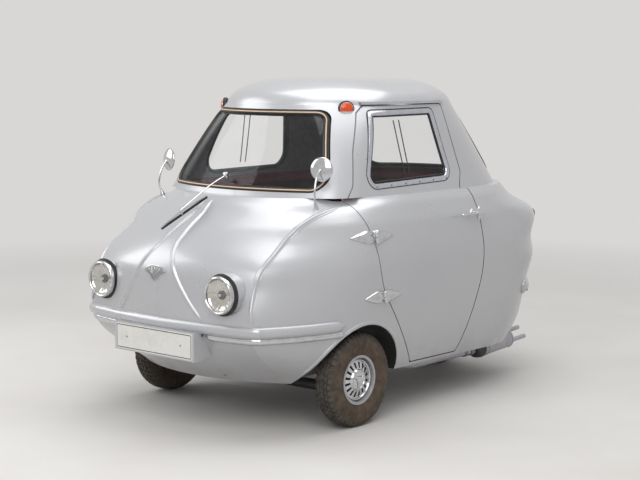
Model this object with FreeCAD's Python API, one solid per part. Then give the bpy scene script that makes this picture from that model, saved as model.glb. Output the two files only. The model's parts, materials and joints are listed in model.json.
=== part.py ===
# Three-wheeled bubble car: hollow bodyshell, hinged side door, glazed cabin,
# steered front wheels on kingpins and one rear wheel in a fork.
# Millimetres, nose towards -Y, the car's left side towards +X, ground at Z = 0.
import FreeCAD
import Part
import math
import os
from collections import namedtuple

from FreeCAD import Placement, Rotation, Vector

DOC = FreeCAD.newDocument("bubble_car")
SHEET = DOC.addObject("Spreadsheet::Sheet", "Sizes")

# Driving dimensions: alias, value, meaning.
SIZES = [
    ("front_axle_y", -505.0, "front axle line, from the middle of the car"),
    ("wheelbase", 1372.0, "front axle to rear axle"),
    ("track", 1132.0, "between the middles of the front tyres"),
    ("tyre_radius", 205.5, "4.00-8 tyre"),
    ("tyre_width", 104.0, "across the tyre walls"),
    ("rim_radius", 101.5, "bead seat of an 8 inch rim"),
    ("rim_width", 74.0, "across the rim flanges"),
    ("hub_radius", 26.0, "wheel hub barrel"),
    ("hubcap_radius", 92.0, "chromed wheel cover"),
    ("stub_radius", 10.0, "wheel spindle"),
    ("running_gap", 0.05, "radial clearance of a turning shaft"),
    ("kingpin_x", 474.0, "steering pivot from the middle"),
    ("kingpin_radius", 8.0, "steering pivot pin"),
    ("knuckle_radius", 16.0, "sleeve round the steering pivot"),
    ("beam_radius", 24.0, "front axle tube"),
    ("beam_height", 150.0, "front axle tube above the ground"),
    ("rail_x", 180.0, "chassis rail from the middle"),
    ("rail_width", 40.0, "chassis rail section"),
    ("rail_depth", 38.0, "chassis rail section"),
    ("panel_wall", 20.0, "lower body wall"),
    ("cabin_wall", 20.0, "cabin and roof wall"),
    ("door_wall", 32.0, "door skin and inner panel together"),
    ("floor_top", 226.0, "cabin floor above the ground"),
    ("deck_height", 985.0, "belt deck, where the cabin stands on the lower body"),
    ("deck_wall", 25.0, "thickness of the belt deck"),
    ("shut_gap", 5.0, "gap round the door"),
    ("arch_radius", 270.0, "front wheel arch"),
    ("arch_height", 180.0, "middle of the front wheel arch above the ground"),
    ("arch_inner_x", 398.0, "inner wall of the front wheel well"),
    ("liner_wall", 8.0, "wheel well liner"),
    ("rear_well_radius", 240.0, "rear wheel well"),
    ("rear_well_half", 95.0, "half width of the rear wheel well"),
    ("glass_wall", 5.0, "glass thickness"),
    ("glass_setback", 5.0, "glass below the outer skin"),
    ("seal_face", 20.0, "width of a rubber window seal"),
    ("seal_proud", 6.0, "window seal above the skin"),
    ("seal_depth", 14.0, "window seal below the skin"),
    ("frame_face", 24.0, "width of the door's window frame"),
    ("lamp_x", 361.0, "headlamp from the middle"),
    ("lamp_height", 620.0, "headlamp above the ground"),
    ("lamp_front", -598.0, "headlamp rim, from the front axle"),
    ("lamp_radius", 88.0, "headlamp rim"),
    ("plate_length", 470.0, "front number plate"),
    ("plate_height", 111.0, "front number plate"),
    ("plate_wall", 3.0, "front number plate"),
    ("plate_middle", 389.0, "middle of the front number plate above the ground"),
    ("plate_face", -642.0, "front of the plate, from the front axle"),
    ("mirror_radius", 48.0, "round mirror head"),
    ("mirror_x", 472.0, "mirror head from the middle"),
    ("mirror_height", 1110.0, "mirror head above the ground"),
    ("silencer_radius", 45.0, "exhaust silencer"),
    ("pipe_radius", 18.0, "exhaust pipe"),
    ("tail_pipe_radius", 11.0, "each tail pipe"),
    ("hinge_radius", 9.0, "door hinge barrel"),
    ("hinge_half", 74.0, "half length of a door hinge"),
]

for row_number, (alias, value, meaning) in enumerate(SIZES, start=1):
    SHEET.set("A%d" % row_number, meaning)
    SHEET.set("B%d" % row_number, str(value))
    SHEET.setAlias("B%d" % row_number, alias)
DOC.recompute()


def size(alias):
    """Reads one driving dimension from the sheet."""
    return float(getattr(SHEET, alias))


AXLE_Y = size("front_axle_y")
REAR_Y = AXLE_Y + size("wheelbase")
FLOOR_TOP = size("floor_top")
DECK = size("deck_height")

# Horizontal sections of the lower body. Lengths run back from the front axle.
# The crease is where the bonnet meets the wing.
BodySection = namedtuple("BodySection", "height nose crease_x crease_y half_width wing_end quarter tail")
BODY_SECTIONS = [
    BodySection(210, -410, 410, -300, 580, 20, 1000, 1500),
    BodySection(300, -520, 460, -410, 617, 0, 1030, 1540),
    BodySection(420, -592, 485, -535, 643, -20, 1040, 1575),
    BodySection(560, -622, 482, -548, 657, -20, 1080, 1610),
    BodySection(690, -626, 478, -503, 660, 30, 1090, 1625),
    BodySection(770, -582, 480, -413, 656, 100, 1110, 1640),
    BodySection(830, -510, 475, -330, 648, 150, 1130, 1650),
    BodySection(860, -466, 484, -295, 643, 180, 1095, 1628),
    BodySection(888, -418, 495, -255, 635, 210, 1025, 1575),
    BodySection(925, -360, 512, -170, 620, 280, 935, 1505),
    BodySection(955, -325, 530, -20, 606, 330, 905, 1470),
    BodySection(985, -270, 530, 70, 582, 380, 900, 1452),
]
# Horizontal sections of the glazed cabin.
CabinSection = namedtuple("CabinSection", "height screen half_width wing_end quarter tail")
CABIN_SECTIONS = [
    CabinSection(985, -208, 540, 70, 920, 1440),
    CabinSection(1100, -146, 510, 150, 850, 1370),
    CabinSection(1240, -70, 479, 280, 775, 1258),
    CabinSection(1375, 3, 449, 450, 700, 1145),
]
# The roof closes over the last cabin section, drawn in by these amounts.
RoofSection = namedtuple("RoofSection", "height inset")
ROOF_SECTIONS = [
    RoofSection(1375, 0),
    RoofSection(1400, 13),
    RoofSection(1430, 45),
    RoofSection(1457, 98),
    RoofSection(1477, 160),
    RoofSection(1488, 240),
    RoofSection(1492, 330),
]
QUARTER_TURN = math.radians(60)
SCREEN_TURN = math.radians(60)
CABIN_REAR_TURN = math.radians(45)


def corner_radii(across, along, turn):
    """Radii of two tangent arcs that round a corner: the tight one first."""
    cosine, sine = math.cos(turn), math.sin(turn)
    determinant = (1 - cosine) * (1 - sine) - cosine * sine
    tight = (across * (1 - sine) - cosine * along) / determinant
    wide = ((1 - cosine) * along - sine * across) / determinant
    return tight, wide


def arc(start, middle, end):
    return Part.Arc(start, middle, end).toShape()


def polar(centre_x, centre_y, radius, angle, height):
    return Vector(centre_x + radius * math.cos(angle), centre_y + radius * math.sin(angle), height)


def mirrored(point):
    return Vector(-point.x, point.y, point.z)


def closed_section(nose_arc, side_edges, tail_arc):
    """Joins the nose arc, one side's edges, the tail arc and the mirrored side."""
    edges = [nose_arc]
    for kind, points in side_edges:
        edges.append(arc(*points) if kind == "arc" else Part.makeLine(*points))
    edges.append(tail_arc)
    for kind, points in reversed(side_edges):
        back = [mirrored(p) for p in reversed(points)]
        edges.append(arc(*back) if kind == "arc" else Part.makeLine(*back))
    return Part.Wire(edges)


def rear_corner(half_width, quarter, tail, turn, height):
    """The corner arc's points and the tail arc of one section."""
    tight, wide = corner_radii(half_width, tail - quarter, turn)
    centre_x, y = half_width - tight, AXLE_Y + quarter
    corner = [polar(centre_x, y, tight, turn * share, height) for share in (0, 0.5, 1)]
    tail_arc = arc(corner[2], Vector(0, AXLE_Y + tail, height), mirrored(corner[2]))
    return corner, tail_arc


def body_section(row, inset):
    """One lower body section, drawn in (or out, below zero) by inset."""
    nose = row.nose + inset
    crease = Vector(row.crease_x - 0.8 * inset, AXLE_Y + row.crease_y + 0.75 * inset, row.height)
    half_width = row.half_width - inset
    wing_y = AXLE_Y + row.wing_end
    across, along = half_width - crease.x, wing_y - crease.y
    wing_radius = (across ** 2 + along ** 2) / (2 * across)
    half_turn = math.asin(along / wing_radius) / 2
    side = [
        ("arc", [crease,
                 polar(half_width - wing_radius, wing_y, wing_radius, -half_turn, row.height),
                 Vector(half_width, wing_y, row.height)]),
        ("line", [Vector(half_width, wing_y, row.height),
                  Vector(half_width, AXLE_Y + row.quarter, row.height)]),
    ]
    corner, tail_arc = rear_corner(half_width, row.quarter, row.tail - inset, QUARTER_TURN, row.height)
    side.append(("arc", corner))
    nose_arc = arc(mirrored(crease), Vector(0, AXLE_Y + nose, row.height), crease)
    return closed_section(nose_arc, side, tail_arc)


def cabin_section(row, inset, height=None):
    """One cabin section, drawn in (or out, below zero) by inset."""
    height = row.height if height is None else height
    half_width, screen = row.half_width - inset, row.screen + inset
    tight, wide = corner_radii(half_width, row.wing_end - screen, SCREEN_TURN)
    centre_x, y = half_width - tight, AXLE_Y + row.wing_end
    front = [polar(centre_x, y, tight, -SCREEN_TURN * share, height) for share in (1, 0.5, 0)]
    side = [
        ("arc", front),
        ("line", [front[2], Vector(half_width, AXLE_Y + row.quarter, height)]),
    ]
    corner, tail_arc = rear_corner(half_width, row.quarter, row.tail - inset, CABIN_REAR_TURN, height)
    side.append(("arc", corner))
    nose_arc = arc(mirrored(front[0]), Vector(0, AXLE_Y + screen, height), front[0])
    return closed_section(nose_arc, side, tail_arc)


def lower_form(inset):
    return Part.makeLoft([body_section(row, inset) for row in BODY_SECTIONS], True, False)


def cabin_form(inset):
    return Part.makeLoft([cabin_section(row, inset) for row in CABIN_SECTIONS], True, False)


def roof_form(inset):
    top = CABIN_SECTIONS[-1]
    sections = [cabin_section(top, inset + row.inset, row.height - (inset if row.inset else 0))
                for row in ROOF_SECTIONS]
    return Part.makeLoft(sections, True, False)


def block(x_low, x_high, y_low, y_high, z_low, z_high):
    corner = Vector(x_low, y_low, z_low)
    return Part.makeBox(x_high - x_low, y_high - y_low, z_high - z_low, corner)


def rounded_outline(corners, plane, offset):
    """A closed outline with rounded corners.

    Each corner is (first, second, radius). The plane YZ puts them at Y and Z
    with X = offset, and the plane XZ puts them at X and Z with Y = offset.
    """
    def place(first, second):
        return Vector(offset, first, second) if plane == "YZ" else Vector(first, offset, second)
    points = [place(first, second) for first, second, radius in corners]
    edges, last_end, first_start = [], None, None
    for index, (_, _, radius) in enumerate(corners):
        here = points[index]
        back = (points[index - 1] - here).normalize()
        ahead = (points[(index + 1) % len(points)] - here).normalize()
        half = math.acos(max(-1, min(1, back.dot(ahead)))) / 2
        reach = radius / math.tan(half)
        start, end = here + back * reach, here + ahead * reach
        bisector = (back + ahead).normalize()
        middle = here + bisector * (radius / math.sin(half) - radius)
        if last_end is not None:
            edges.append(Part.makeLine(last_end, start))
        else:
            first_start = start
        edges.append(arc(start, middle, end))
        last_end = end
    edges.append(Part.makeLine(last_end, first_start))
    return Part.Wire(edges)


def prism(wire, reach, grow=0.0):
    """The outline as a solid, after growing it by grow in its own plane."""
    face = Part.Face(wire)
    if grow:
        face = Part.Face(face.OuterWire.makeOffset2D(grow))
    return face.extrude(reach)


def tube_route(points, radius, bend):
    """A round bar along straight runs joined by tangent arcs."""
    edges, start = [], points[0]
    for index in range(1, len(points) - 1):
        here = points[index]
        back = (points[index - 1] - here).normalize()
        ahead = (points[index + 1] - here).normalize()
        half = math.acos(max(-1, min(1, back.dot(ahead)))) / 2
        reach = bend / math.tan(half)
        middle = here + (back + ahead).normalize() * (bend / math.sin(half) - bend)
        edges.append(Part.makeLine(start, here + back * reach))
        edges.append(arc(here + back * reach, middle, here + ahead * reach))
        start = here + ahead * reach
    edges.append(Part.makeLine(start, points[-1]))
    path = Part.Wire(edges)
    heading = (points[1] - points[0]).normalize()
    profile = Part.Wire(Part.Circle(points[0], heading, radius).toShape())
    return path.makePipeShell([profile], True, False)


def rod(start, end, radius):
    along = end - start
    return Part.makeCylinder(radius, along.Length, start, along)


NODES = {}


def node(label, shape):
    """Stores one sub-part whose form neither a sketch nor a primitive gives."""
    item = DOC.addObject("Part::Feature", label)
    item.Shape = shape
    item.Label = label
    NODES[label] = item
    return item


def on_both_sides(shape):
    """The shape and its mirror image across the middle of the car."""
    return Part.makeCompound([shape, shape.mirror(Vector(0, 0, 0), Vector(1, 0, 0))])


# Outlines of the door and the windows, behind the front axle and above the ground.
def placed(corners):
    return [(AXLE_Y + y, z, radius) for y, z, radius in corners]


DOOR_BOTTOM = FLOOR_TOP + size("shut_gap")
DOOR_CORNERS = [
    (255, 1372, 10), (208, 1340, 10), (112, 1178, 300), (52, 1030, 60), (2, 975, 30), (100, 590, 300),
    (372, DOOR_BOTTOM, 12), (712, DOOR_BOTTOM, 12), (845, 640, 420), (803, 990, 40), (832, 1060, 40),
    (770, 1372, 20),
]
DOOR_WINDOW_CORNERS = [(258, 1352, 30), (124, 1012, 55), (764, 1025, 55), (692, 1355, 30)]
SIDE_WINDOW_CORNERS = [(250, 1350, 70), (140, 1022, 80), (770, 1030, 80), (700, 1352, 70)]
SCREEN_CORNERS = [(-335, 1356, 70), (-482, 1008, 55), (482, 1008, 55), (335, 1356, 70)]
REAR_SCREEN_CORNERS = [(-325, 1352, 70), (-415, 1020, 60), (415, 1020, 60), (325, 1352, 70)]
OUTSIDE = 900.0

door_wire = rounded_outline(placed(DOOR_CORNERS), "YZ", 300)
door_prism = prism(door_wire, Vector(OUTSIDE - 300, 0, 0))
door_opening = prism(door_wire, Vector(OUTSIDE - 300, 0, 0), size("shut_gap"))

lower_outer = lower_form(0)
cabin_outer = cabin_form(0)
cabin_hole = Part.Face(cabin_section(CABIN_SECTIONS[0], size("cabin_wall"), DECK - 100)).extrude(Vector(0, 0, 200))
door_hole = Part.Face(cabin_section(CABIN_SECTIONS[0], size("door_wall"), DECK - 100)).extrude(Vector(0, 0, 200))
under_deck = block(-OUTSIDE, OUTSIDE, -2000, 2000, FLOOR_TOP, DECK - size("deck_wall"))


def wheel_well(radius, x_low, x_high, y, height):
    return Part.makeCylinder(radius, x_high - x_low, Vector(x_low, y, height), Vector(1, 0, 0))


def body_lower():
    """The hollow tub: walls, floor, belt deck and wheel wells, open at the door."""
    wall, liner = size("panel_wall"), size("liner_wall")
    inside = lower_form(wall).common(under_deck)
    lamp = Part.makeCylinder(size("lamp_radius") - 2, 130,
                             Vector(size("lamp_x"), AXLE_Y + size("lamp_front") + 8, size("lamp_height")),
                             Vector(0, 1, 0))
    seat = Part.makeCylinder(size("lamp_radius") + 1, 200,
                             Vector(size("lamp_x"), AXLE_Y + size("lamp_front") + 8, size("lamp_height")),
                             Vector(0, -1, 0))
    shell = lower_outer.fuse(on_both_sides(lamp).Solids).cut(on_both_sides(seat).Solids)
    shell = shell.cut(inside).cut(cabin_hole)
    well_x, well_r = size("arch_inner_x"), size("arch_radius")
    skins, voids = [], []
    for side in (-1, 1):
        inner, outer = sorted((side * (well_x - liner), side * 690))
        skins.append(wheel_well(well_r + liner, inner, outer, AXLE_Y, size("arch_height")))
        inner, outer = sorted((side * well_x, side * 760))
        voids.append(wheel_well(well_r, inner, outer, AXLE_Y, size("arch_height")))
    half = size("rear_well_half")
    skins.append(wheel_well(size("rear_well_radius") + liner, -half - liner, half + liner, REAR_Y, 190))
    voids.append(wheel_well(size("rear_well_radius"), -half, half, REAR_Y, 190))
    shell = shell.fuse([skin.common(lower_outer) for skin in skins]).cut(voids)
    return shell.cut(door_opening)


def shell_of(form, outer_inset, inner_inset):
    return form(outer_inset).cut(form(inner_inset))


def window_cutters():
    """Cutters for the four windows, each grown by an amount that is given later."""
    screen = rounded_outline(SCREEN_CORNERS, "XZ", AXLE_Y - 500)
    rear = rounded_outline(REAR_SCREEN_CORNERS, "XZ", AXLE_Y + 800)
    right = rounded_outline(placed(SIDE_WINDOW_CORNERS), "YZ", -OUTSIDE)
    return {
        "windscreen": (screen, Vector(0, 800, 0)),
        "rear_screen": (rear, Vector(0, 900, 0)),
        "side_window": (right, Vector(600, 0, 0)),
    }


WINDOWS = window_cutters()


def window_prism(name, grow=0.0):
    wire, reach = WINDOWS[name]
    return prism(wire, reach, grow)


def cabin_top():
    """Pillars, roof and window openings above the belt deck."""
    wall = size("cabin_wall")
    pillars = shell_of(cabin_form, 0, wall)
    roof = roof_form(0).cut(roof_form(wall))
    shell = pillars.fuse(roof)
    shell = shell.cut([window_prism(name) for name in WINDOWS])
    return shell.cut(door_opening)


def window_seal(name):
    band = shell_of(cabin_form, -size("seal_proud"), size("seal_depth"))
    return band.common(window_prism(name)).cut(window_prism(name, -size("seal_face")))


def window_glass(name):
    back = size("glass_setback")
    sheet = shell_of(cabin_form, back, back + size("glass_wall"))
    return sheet.common(window_prism(name, -size("seal_face")))


node("body_lower", body_lower())
node("cabin_top", cabin_top())
for window in WINDOWS:
    node(window + "_seal", window_seal(window))
    node(window + "_glass", window_glass(window))

# The door: lower panel and window surround in one, with its own frame and glass.
door_window = rounded_outline(placed(DOOR_WINDOW_CORNERS), "YZ", 300)
DOOR_REACH = Vector(OUTSIDE - 300, 0, 0)


def door_shell():
    wall = size("door_wall")
    inside = lower_form(wall).common(under_deck)
    panel = lower_outer.common(door_prism).cut(inside).cut(door_hole)
    surround = shell_of(cabin_form, 0, wall).common(door_prism)
    return panel.fuse(surround).cut(prism(door_window, DOOR_REACH)).removeSplitter()


node("door_shell", door_shell())
frame_band = shell_of(cabin_form, -4, 24)
node("door_window_frame", frame_band.common(prism(door_window, DOOR_REACH)).cut(
    prism(door_window, DOOR_REACH, -size("frame_face"))))
node("door_glass", shell_of(cabin_form, 6, 6 + size("glass_wall")).common(
    prism(door_window, DOOR_REACH, -size("frame_face"))))

# Bumper mouldings round the nose and the rear corners, with bright strips in front.
bumper_slab = block(-OUTSIDE, OUTSIDE, AXLE_Y - 700, AXLE_Y - 130, 428, 476)
rear_slabs = [block(250, OUTSIDE, AXLE_Y + 1230, AXLE_Y + 1750, 458, 505)]
front_moulding = lower_form(-12).common(bumper_slab).cut(lower_outer)
rear_moulding = lower_form(-22).common(rear_slabs[0]).cut(lower_outer)
node("bumper_mouldings", Part.makeCompound(
    front_moulding.Solids + on_both_sides(rear_moulding).Solids))
strip_slab = block(245, OUTSIDE, AXLE_Y - 700, AXLE_Y - 135, 430, 452)
strip = lower_form(-20).common(strip_slab).cut(lower_form(-12))
node("bumper_strips", on_both_sides(strip))

# Front plate holder and plate.
plate_half = size("plate_length") / 2
plate_back = AXLE_Y + size("plate_face") + size("plate_wall")
plate_low = size("plate_middle") - size("plate_height") / 2
plate_high = size("plate_middle") + size("plate_height") / 2
holder_side = Part.makePolygon([Vector(-plate_half - 8, y, z) for y, z in (
    (plate_back, plate_high + 6), (plate_back, plate_low - 6), (plate_back + 45, plate_low - 6),
    (AXLE_Y - 470, 366), (AXLE_Y - 470, plate_high + 6), (plate_back, plate_high + 6))])
holder = Part.Face(holder_side).extrude(Vector(2 * plate_half + 16, 0, 0))
node("plate_holder", holder.cut([lower_outer, front_moulding]).Solids[0])
node("number_plate", block(-plate_half, plate_half, plate_back - size("plate_wall"), plate_back,
                           plate_low, plate_high))

# Headlamps.
lamp_centre = Vector(size("lamp_x"), AXLE_Y + size("lamp_front"), size("lamp_height"))
rim_ring = Part.makeCylinder(size("lamp_radius"), 20, lamp_centre - Vector(0, 12, 0), Vector(0, 1, 0)).cut(
    Part.makeCylinder(size("lamp_radius") - 10, 20, lamp_centre - Vector(0, 12, 0), Vector(0, 1, 0)))
node("headlamp_rims", on_both_sides(rim_ring))
lens = Part.makeCylinder(size("lamp_radius") - 10, 14, lamp_centre - Vector(0, 6, 0), Vector(0, 1, 0))
node("headlamp_lenses", on_both_sides(lens))

# Indicator lamps at the top of the front pillars.
INDICATOR_PLACE = Vector(370, AXLE_Y + 204, 1379)
INDICATOR_WAY = Vector(0.83, -0.55, 0).normalize()


def indicator():
    gasket = rod(INDICATOR_PLACE - INDICATOR_WAY * 12, INDICATOR_PLACE + INDICATOR_WAY * 7, 17)
    lens = rod(INDICATOR_PLACE - INDICATOR_WAY * 12, INDICATOR_PLACE + INDICATOR_WAY * 27, 14)
    return gasket.fuse(lens).cut(cabin_form(0).fuse(roof_form(0)))


node("indicator_lamps", on_both_sides(indicator()))

# Tail lamps above the rear bumper mouldings.
TAIL_WAY = Vector(0.67, 0.74, 0).normalize()
tail_lamp = rod(Vector(470, AXLE_Y + 1460, 835), Vector(470, AXLE_Y + 1460, 835) + TAIL_WAY * 46, 24)
reflector = rod(Vector(476, AXLE_Y + 1450, 770), Vector(476, AXLE_Y + 1450, 770) + TAIL_WAY * 40, 18)
node("tail_lamps", Part.makeCompound(
    on_both_sides(tail_lamp.cut(lower_outer)).Solids + on_both_sides(reflector.cut(lower_outer)).Solids))

# Round mirrors on bent stalks.
mirror_x, mirror_height = size("mirror_x"), size("mirror_height")
stalk = tube_route([
    Vector(470, AXLE_Y - 134, 940), Vector(476, AXLE_Y - 150, 1000),
    Vector(480, AXLE_Y - 150, 1060), Vector(mirror_x, AXLE_Y - 112, mirror_height)], 5, 24)
head = Part.makeCylinder(size("mirror_radius"), 10, Vector(mirror_x, AXLE_Y - 116, mirror_height), Vector(0, 1, 0.1))
mirror = head.fuse(stalk.cut(lower_outer))
node("mirrors", on_both_sides(mirror))

# Wiper: spindle through the screen, arm and blade.
wiper_spindle = rod(Vector(0, AXLE_Y - 130, 1062), Vector(0, AXLE_Y - 200, 1080), 9)
wiper_arm = rod(Vector(0, AXLE_Y - 196, 1078), Vector(0, AXLE_Y - 500, 915), 4)
wiper_blade = rod(Vector(-5, AXLE_Y - 590, 872), Vector(5, AXLE_Y - 330, 990), 4)
wiper = wiper_spindle.fuse([wiper_arm, wiper_blade]).cut(shell_of(cabin_form, 5, 10))
node("wiper", wiper)

# Drip rail over the door and down its rear edge.
rail_zone = block(0, OUTSIDE, AXLE_Y + 240, AXLE_Y + 790, 1377, 1389)
node("drip_rail", shell_of(roof_form, -10, 0).common(rail_zone))

# Door hinges: a leaf on the wing, a leaf on the door and a barrel on the shut line.
HINGE_TOP = Vector(662, AXLE_Y + 44, 823)
HINGE_LOW = Vector(672, AXLE_Y + 92, 563)
HINGE_AXIS = (HINGE_TOP - HINGE_LOW).normalize()
barrel_r = size("hinge_radius")


def hinge_leaf(centre, reach, outer):
    """One leaf with its barrel half; outer says which side of the middle it holds."""
    plate = block(centre.x - 30, centre.x + 6, min(centre.y, centre.y + reach),
                  max(centre.y, centre.y + reach), centre.z - 17, centre.z + 17)
    plate = plate.cut(lower_outer)
    return plate


def hinge_pair(centre):
    half = size("hinge_half")
    pin = rod(centre - HINGE_AXIS * 17, centre + HINGE_AXIS * 17, 4)
    clear = rod(centre - HINGE_AXIS * 24, centre + HINGE_AXIS * 24, barrel_r + 0.5)
    fixed = hinge_leaf(centre, -half, 0).cut(clear).fuse(pin)
    low = rod(centre - HINGE_AXIS * 17, centre - HINGE_AXIS * 0.3, barrel_r)
    high = rod(centre + HINGE_AXIS * 0.3, centre + HINGE_AXIS * 17, barrel_r)
    wing_side = fixed.fuse(low).common(block(0, 900, -2000, centre.y + 30, 0, 1500))
    hole = rod(centre - HINGE_AXIS * 20, centre + HINGE_AXIS * 20, 4 + size("running_gap"))
    relief = rod(centre - HINGE_AXIS * 24, centre + HINGE_AXIS * 24, 21).common(
        block(0, centre.x - 9.6, -2000, 2000, 0, 1500))
    door_side = hinge_leaf(centre, half, 1).cut([clear, relief]).fuse(high).cut(hole)
    return wing_side, door_side


top_wing, top_door = hinge_pair(HINGE_TOP)
low_wing, low_door = hinge_pair(HINGE_LOW)
node("body_hinges", Part.makeCompound([top_wing, low_wing]))
node("door_hinges", Part.makeCompound([top_door, low_door]))

# Door handle.
handle_stem = rod(Vector(630, AXLE_Y + 790, 871), Vector(674, AXLE_Y + 790, 871), 9)
handle_bar = rod(Vector(676, AXLE_Y + 700, 871), Vector(676, AXLE_Y + 812, 868), 6)
node("door_handle", handle_stem.fuse(handle_bar).cut(lower_outer))

# Badge shield, left plain.
badge_outline = rounded_outline([(-40, 700, 6), (-12, 652, 6), (12, 652, 6), (40, 700, 6)], "XZ", AXLE_Y - 660)
node("badge", prism(badge_outline, Vector(0, 60, 0)).cut(lower_outer))

# Inside the cabin.
wall = size("panel_wall")
shelf = block(-OUTSIDE, OUTSIDE, AXLE_Y - 300, AXLE_Y - 90, 885, DECK - size("deck_wall"))
node("dashboard", lower_form(wall).common(shelf).cut(lower_form(wall + 90)))
trim_zone = block(-OUTSIDE, 0, AXLE_Y + 330, AXLE_Y + 900, 520, DECK - size("deck_wall"))
node("side_trim", shell_of(lower_form, wall, wall + 10).common(trim_zone))
seat_box = block(-190, 190, AXLE_Y + 300, AXLE_Y + 600, FLOOR_TOP, 455).cut(
    block(-178, 178, AXLE_Y + 312, AXLE_Y + 588, FLOOR_TOP, 443))
node("seat_base", seat_box)
node("engine", block(-150, 150, AXLE_Y + 330, AXLE_Y + 570, FLOOR_TOP, 430))
cushion = block(-200, 200, AXLE_Y + 290, AXLE_Y + 610, 455.3, 545)
node("driver_cushion", cushion.makeFillet(25, cushion.Edges[:]))
rear_base = block(-300, 300, AXLE_Y + 820, AXLE_Y + 1290, FLOOR_TOP, 480).cut(
    [block(-288, 288, AXLE_Y + 832, AXLE_Y + 1278, FLOOR_TOP, 468)])
node("passenger_base", rear_base.cut(
    wheel_well(size("rear_well_radius") + size("liner_wall"), -size("rear_well_half") - size("liner_wall"),
               size("rear_well_half") + size("liner_wall"), REAR_Y, 190)))
rear_cushion = block(-300, 300, AXLE_Y + 815, AXLE_Y + 1180, 480.3, 580)
node("passenger_cushion", rear_cushion.makeFillet(25, rear_cushion.Edges[:]))
rear_back = block(-300, 300, AXLE_Y + 1180.3, AXLE_Y + 1268, 480.3, 900)
node("passenger_back", rear_back.makeFillet(25, rear_back.Edges[:]))

# Exhaust.
pipe = tube_route([
    Vector(150, AXLE_Y + 520, 145), Vector(300, AXLE_Y + 520, 145), Vector(405, AXLE_Y + 640, 150),
    Vector(398, AXLE_Y + 900, 150), Vector(381, AXLE_Y + 1160, 143)], size("pipe_radius"), 45)
silencer_start, silencer_end = Vector(380, AXLE_Y + 1200, 148), Vector(385, AXLE_Y + 1446, 166)
along = (silencer_end - silencer_start).normalize()
silencer_r = size("silencer_radius")
silencer = rod(silencer_start, silencer_end, silencer_r)
front_cone = Part.makeCone(size("pipe_radius") + 6, silencer_r, 42, silencer_start - along * 42, along)
tails = [rod(silencer_end - along * 5 + shift, silencer_end + along * 135 + shift, size("tail_pipe_radius"))
         for shift in (Vector(14, 0, -14), Vector(-26, 0, 26))]
hanger = block(371, 391, AXLE_Y + 1290, AXLE_Y + 1296, 170, BODY_SECTIONS[0].height)
node("exhaust", pipe.fuse([front_cone, silencer, hanger] + tails))

# Chassis: rails under the floor, front tube and kingpin yokes.
beam_z, pin_x = size("beam_height"), size("kingpin_x")
floor_under = BODY_SECTIONS[0].height
rails = [block(s * size("rail_x") - size("rail_width") / 2, s * size("rail_x") + size("rail_width") / 2,
               AXLE_Y - 60, AXLE_Y + 600, floor_under - size("rail_depth"), floor_under) for s in (-1, 1)]
beam = rod(Vector(-pin_x + 34, AXLE_Y, beam_z), Vector(pin_x - 34, AXLE_Y, beam_z), size("beam_radius"))
pin_r, sleeve_r = size("kingpin_radius"), size("knuckle_radius")
WHEEL_Z = size("tyre_radius")
LUG_LOW, LUG_HIGH, LUG_WALL = WHEEL_Z - 55.5, WHEEL_Z + 64.5, 15
yokes = []
for s in (-1, 1):
    post_low, post_high = sorted((s * (pin_x - 38), s * (pin_x - 24)))
    yokes.append(block(post_low, post_high, AXLE_Y - 14, AXLE_Y + 14, LUG_LOW - LUG_WALL, LUG_HIGH + LUG_WALL))
    for bottom in (LUG_LOW - LUG_WALL, LUG_HIGH):
        arm_low, arm_high = sorted((s * (pin_x - 38), s * pin_x))
        yokes.append(block(arm_low, arm_high, AXLE_Y - 14, AXLE_Y + 14, bottom, bottom + LUG_WALL))
        yokes.append(Part.makeCylinder(14, LUG_WALL, Vector(s * pin_x, AXLE_Y, bottom)))
    yokes.append(Part.makeCylinder(pin_r, LUG_HIGH - LUG_LOW + 2 * LUG_WALL + 10,
                                   Vector(s * pin_x, AXLE_Y, LUG_LOW - LUG_WALL - 5)))
cross_tube = rod(Vector(-200, AXLE_Y + 560, 185), Vector(200, AXLE_Y + 560, 185), 16)
node("chassis", beam.fuse(rails + yokes + [cross_tube]))

# Rear fork with its fixed axle.
fork_arms = [rod(Vector(s * 76, AXLE_Y + 570, 180), Vector(s * 76, REAR_Y, WHEEL_Z), 12) for s in (-1, 1)]
rear_axle = rod(Vector(-90, REAR_Y, WHEEL_Z), Vector(90, REAR_Y, WHEEL_Z), size("stub_radius"))
fork_ends = [rod(Vector(s * 62, REAR_Y, WHEEL_Z), Vector(s * 90, REAR_Y, WHEEL_Z), 20) for s in (-1, 1)]
fork = fork_arms[0].fuse([fork_arms[1], rear_axle] + fork_ends).cut(cross_tube)
node("rear_fork", fork)


def knuckle(s):
    sleeve = Part.makeCylinder(sleeve_r, LUG_HIGH - LUG_LOW - 1, Vector(s * pin_x, AXLE_Y, LUG_LOW + 0.5))
    stub_end = s * (size("track") / 2 + 26)
    stub = rod(Vector(s * pin_x, AXLE_Y, WHEEL_Z), Vector(stub_end, AXLE_Y, WHEEL_Z), size("stub_radius"))
    shoulder = rod(Vector(s * pin_x, AXLE_Y, WHEEL_Z), Vector(s * (pin_x + 32), AXLE_Y, WHEEL_Z), 18)
    nut = rod(Vector(s * (size("track") / 2 + 20.5), AXLE_Y, WHEEL_Z), Vector(stub_end + s * 2, AXLE_Y, WHEEL_Z), 15)
    low, high = sorted((s * (pin_x - 8), s * (pin_x + 8)))
    arm = block(low, high, AXLE_Y, AXLE_Y + 110, WHEEL_Z - 30, WHEEL_Z - 14)
    pin_hole = Part.makeCylinder(pin_r + size("running_gap"), 200, Vector(s * pin_x, AXLE_Y, 100))
    return sleeve.fuse([stub, shoulder, nut, arm]).cut(pin_hole)


node("knuckle_left", knuckle(1))
node("knuckle_right", knuckle(-1))

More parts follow.
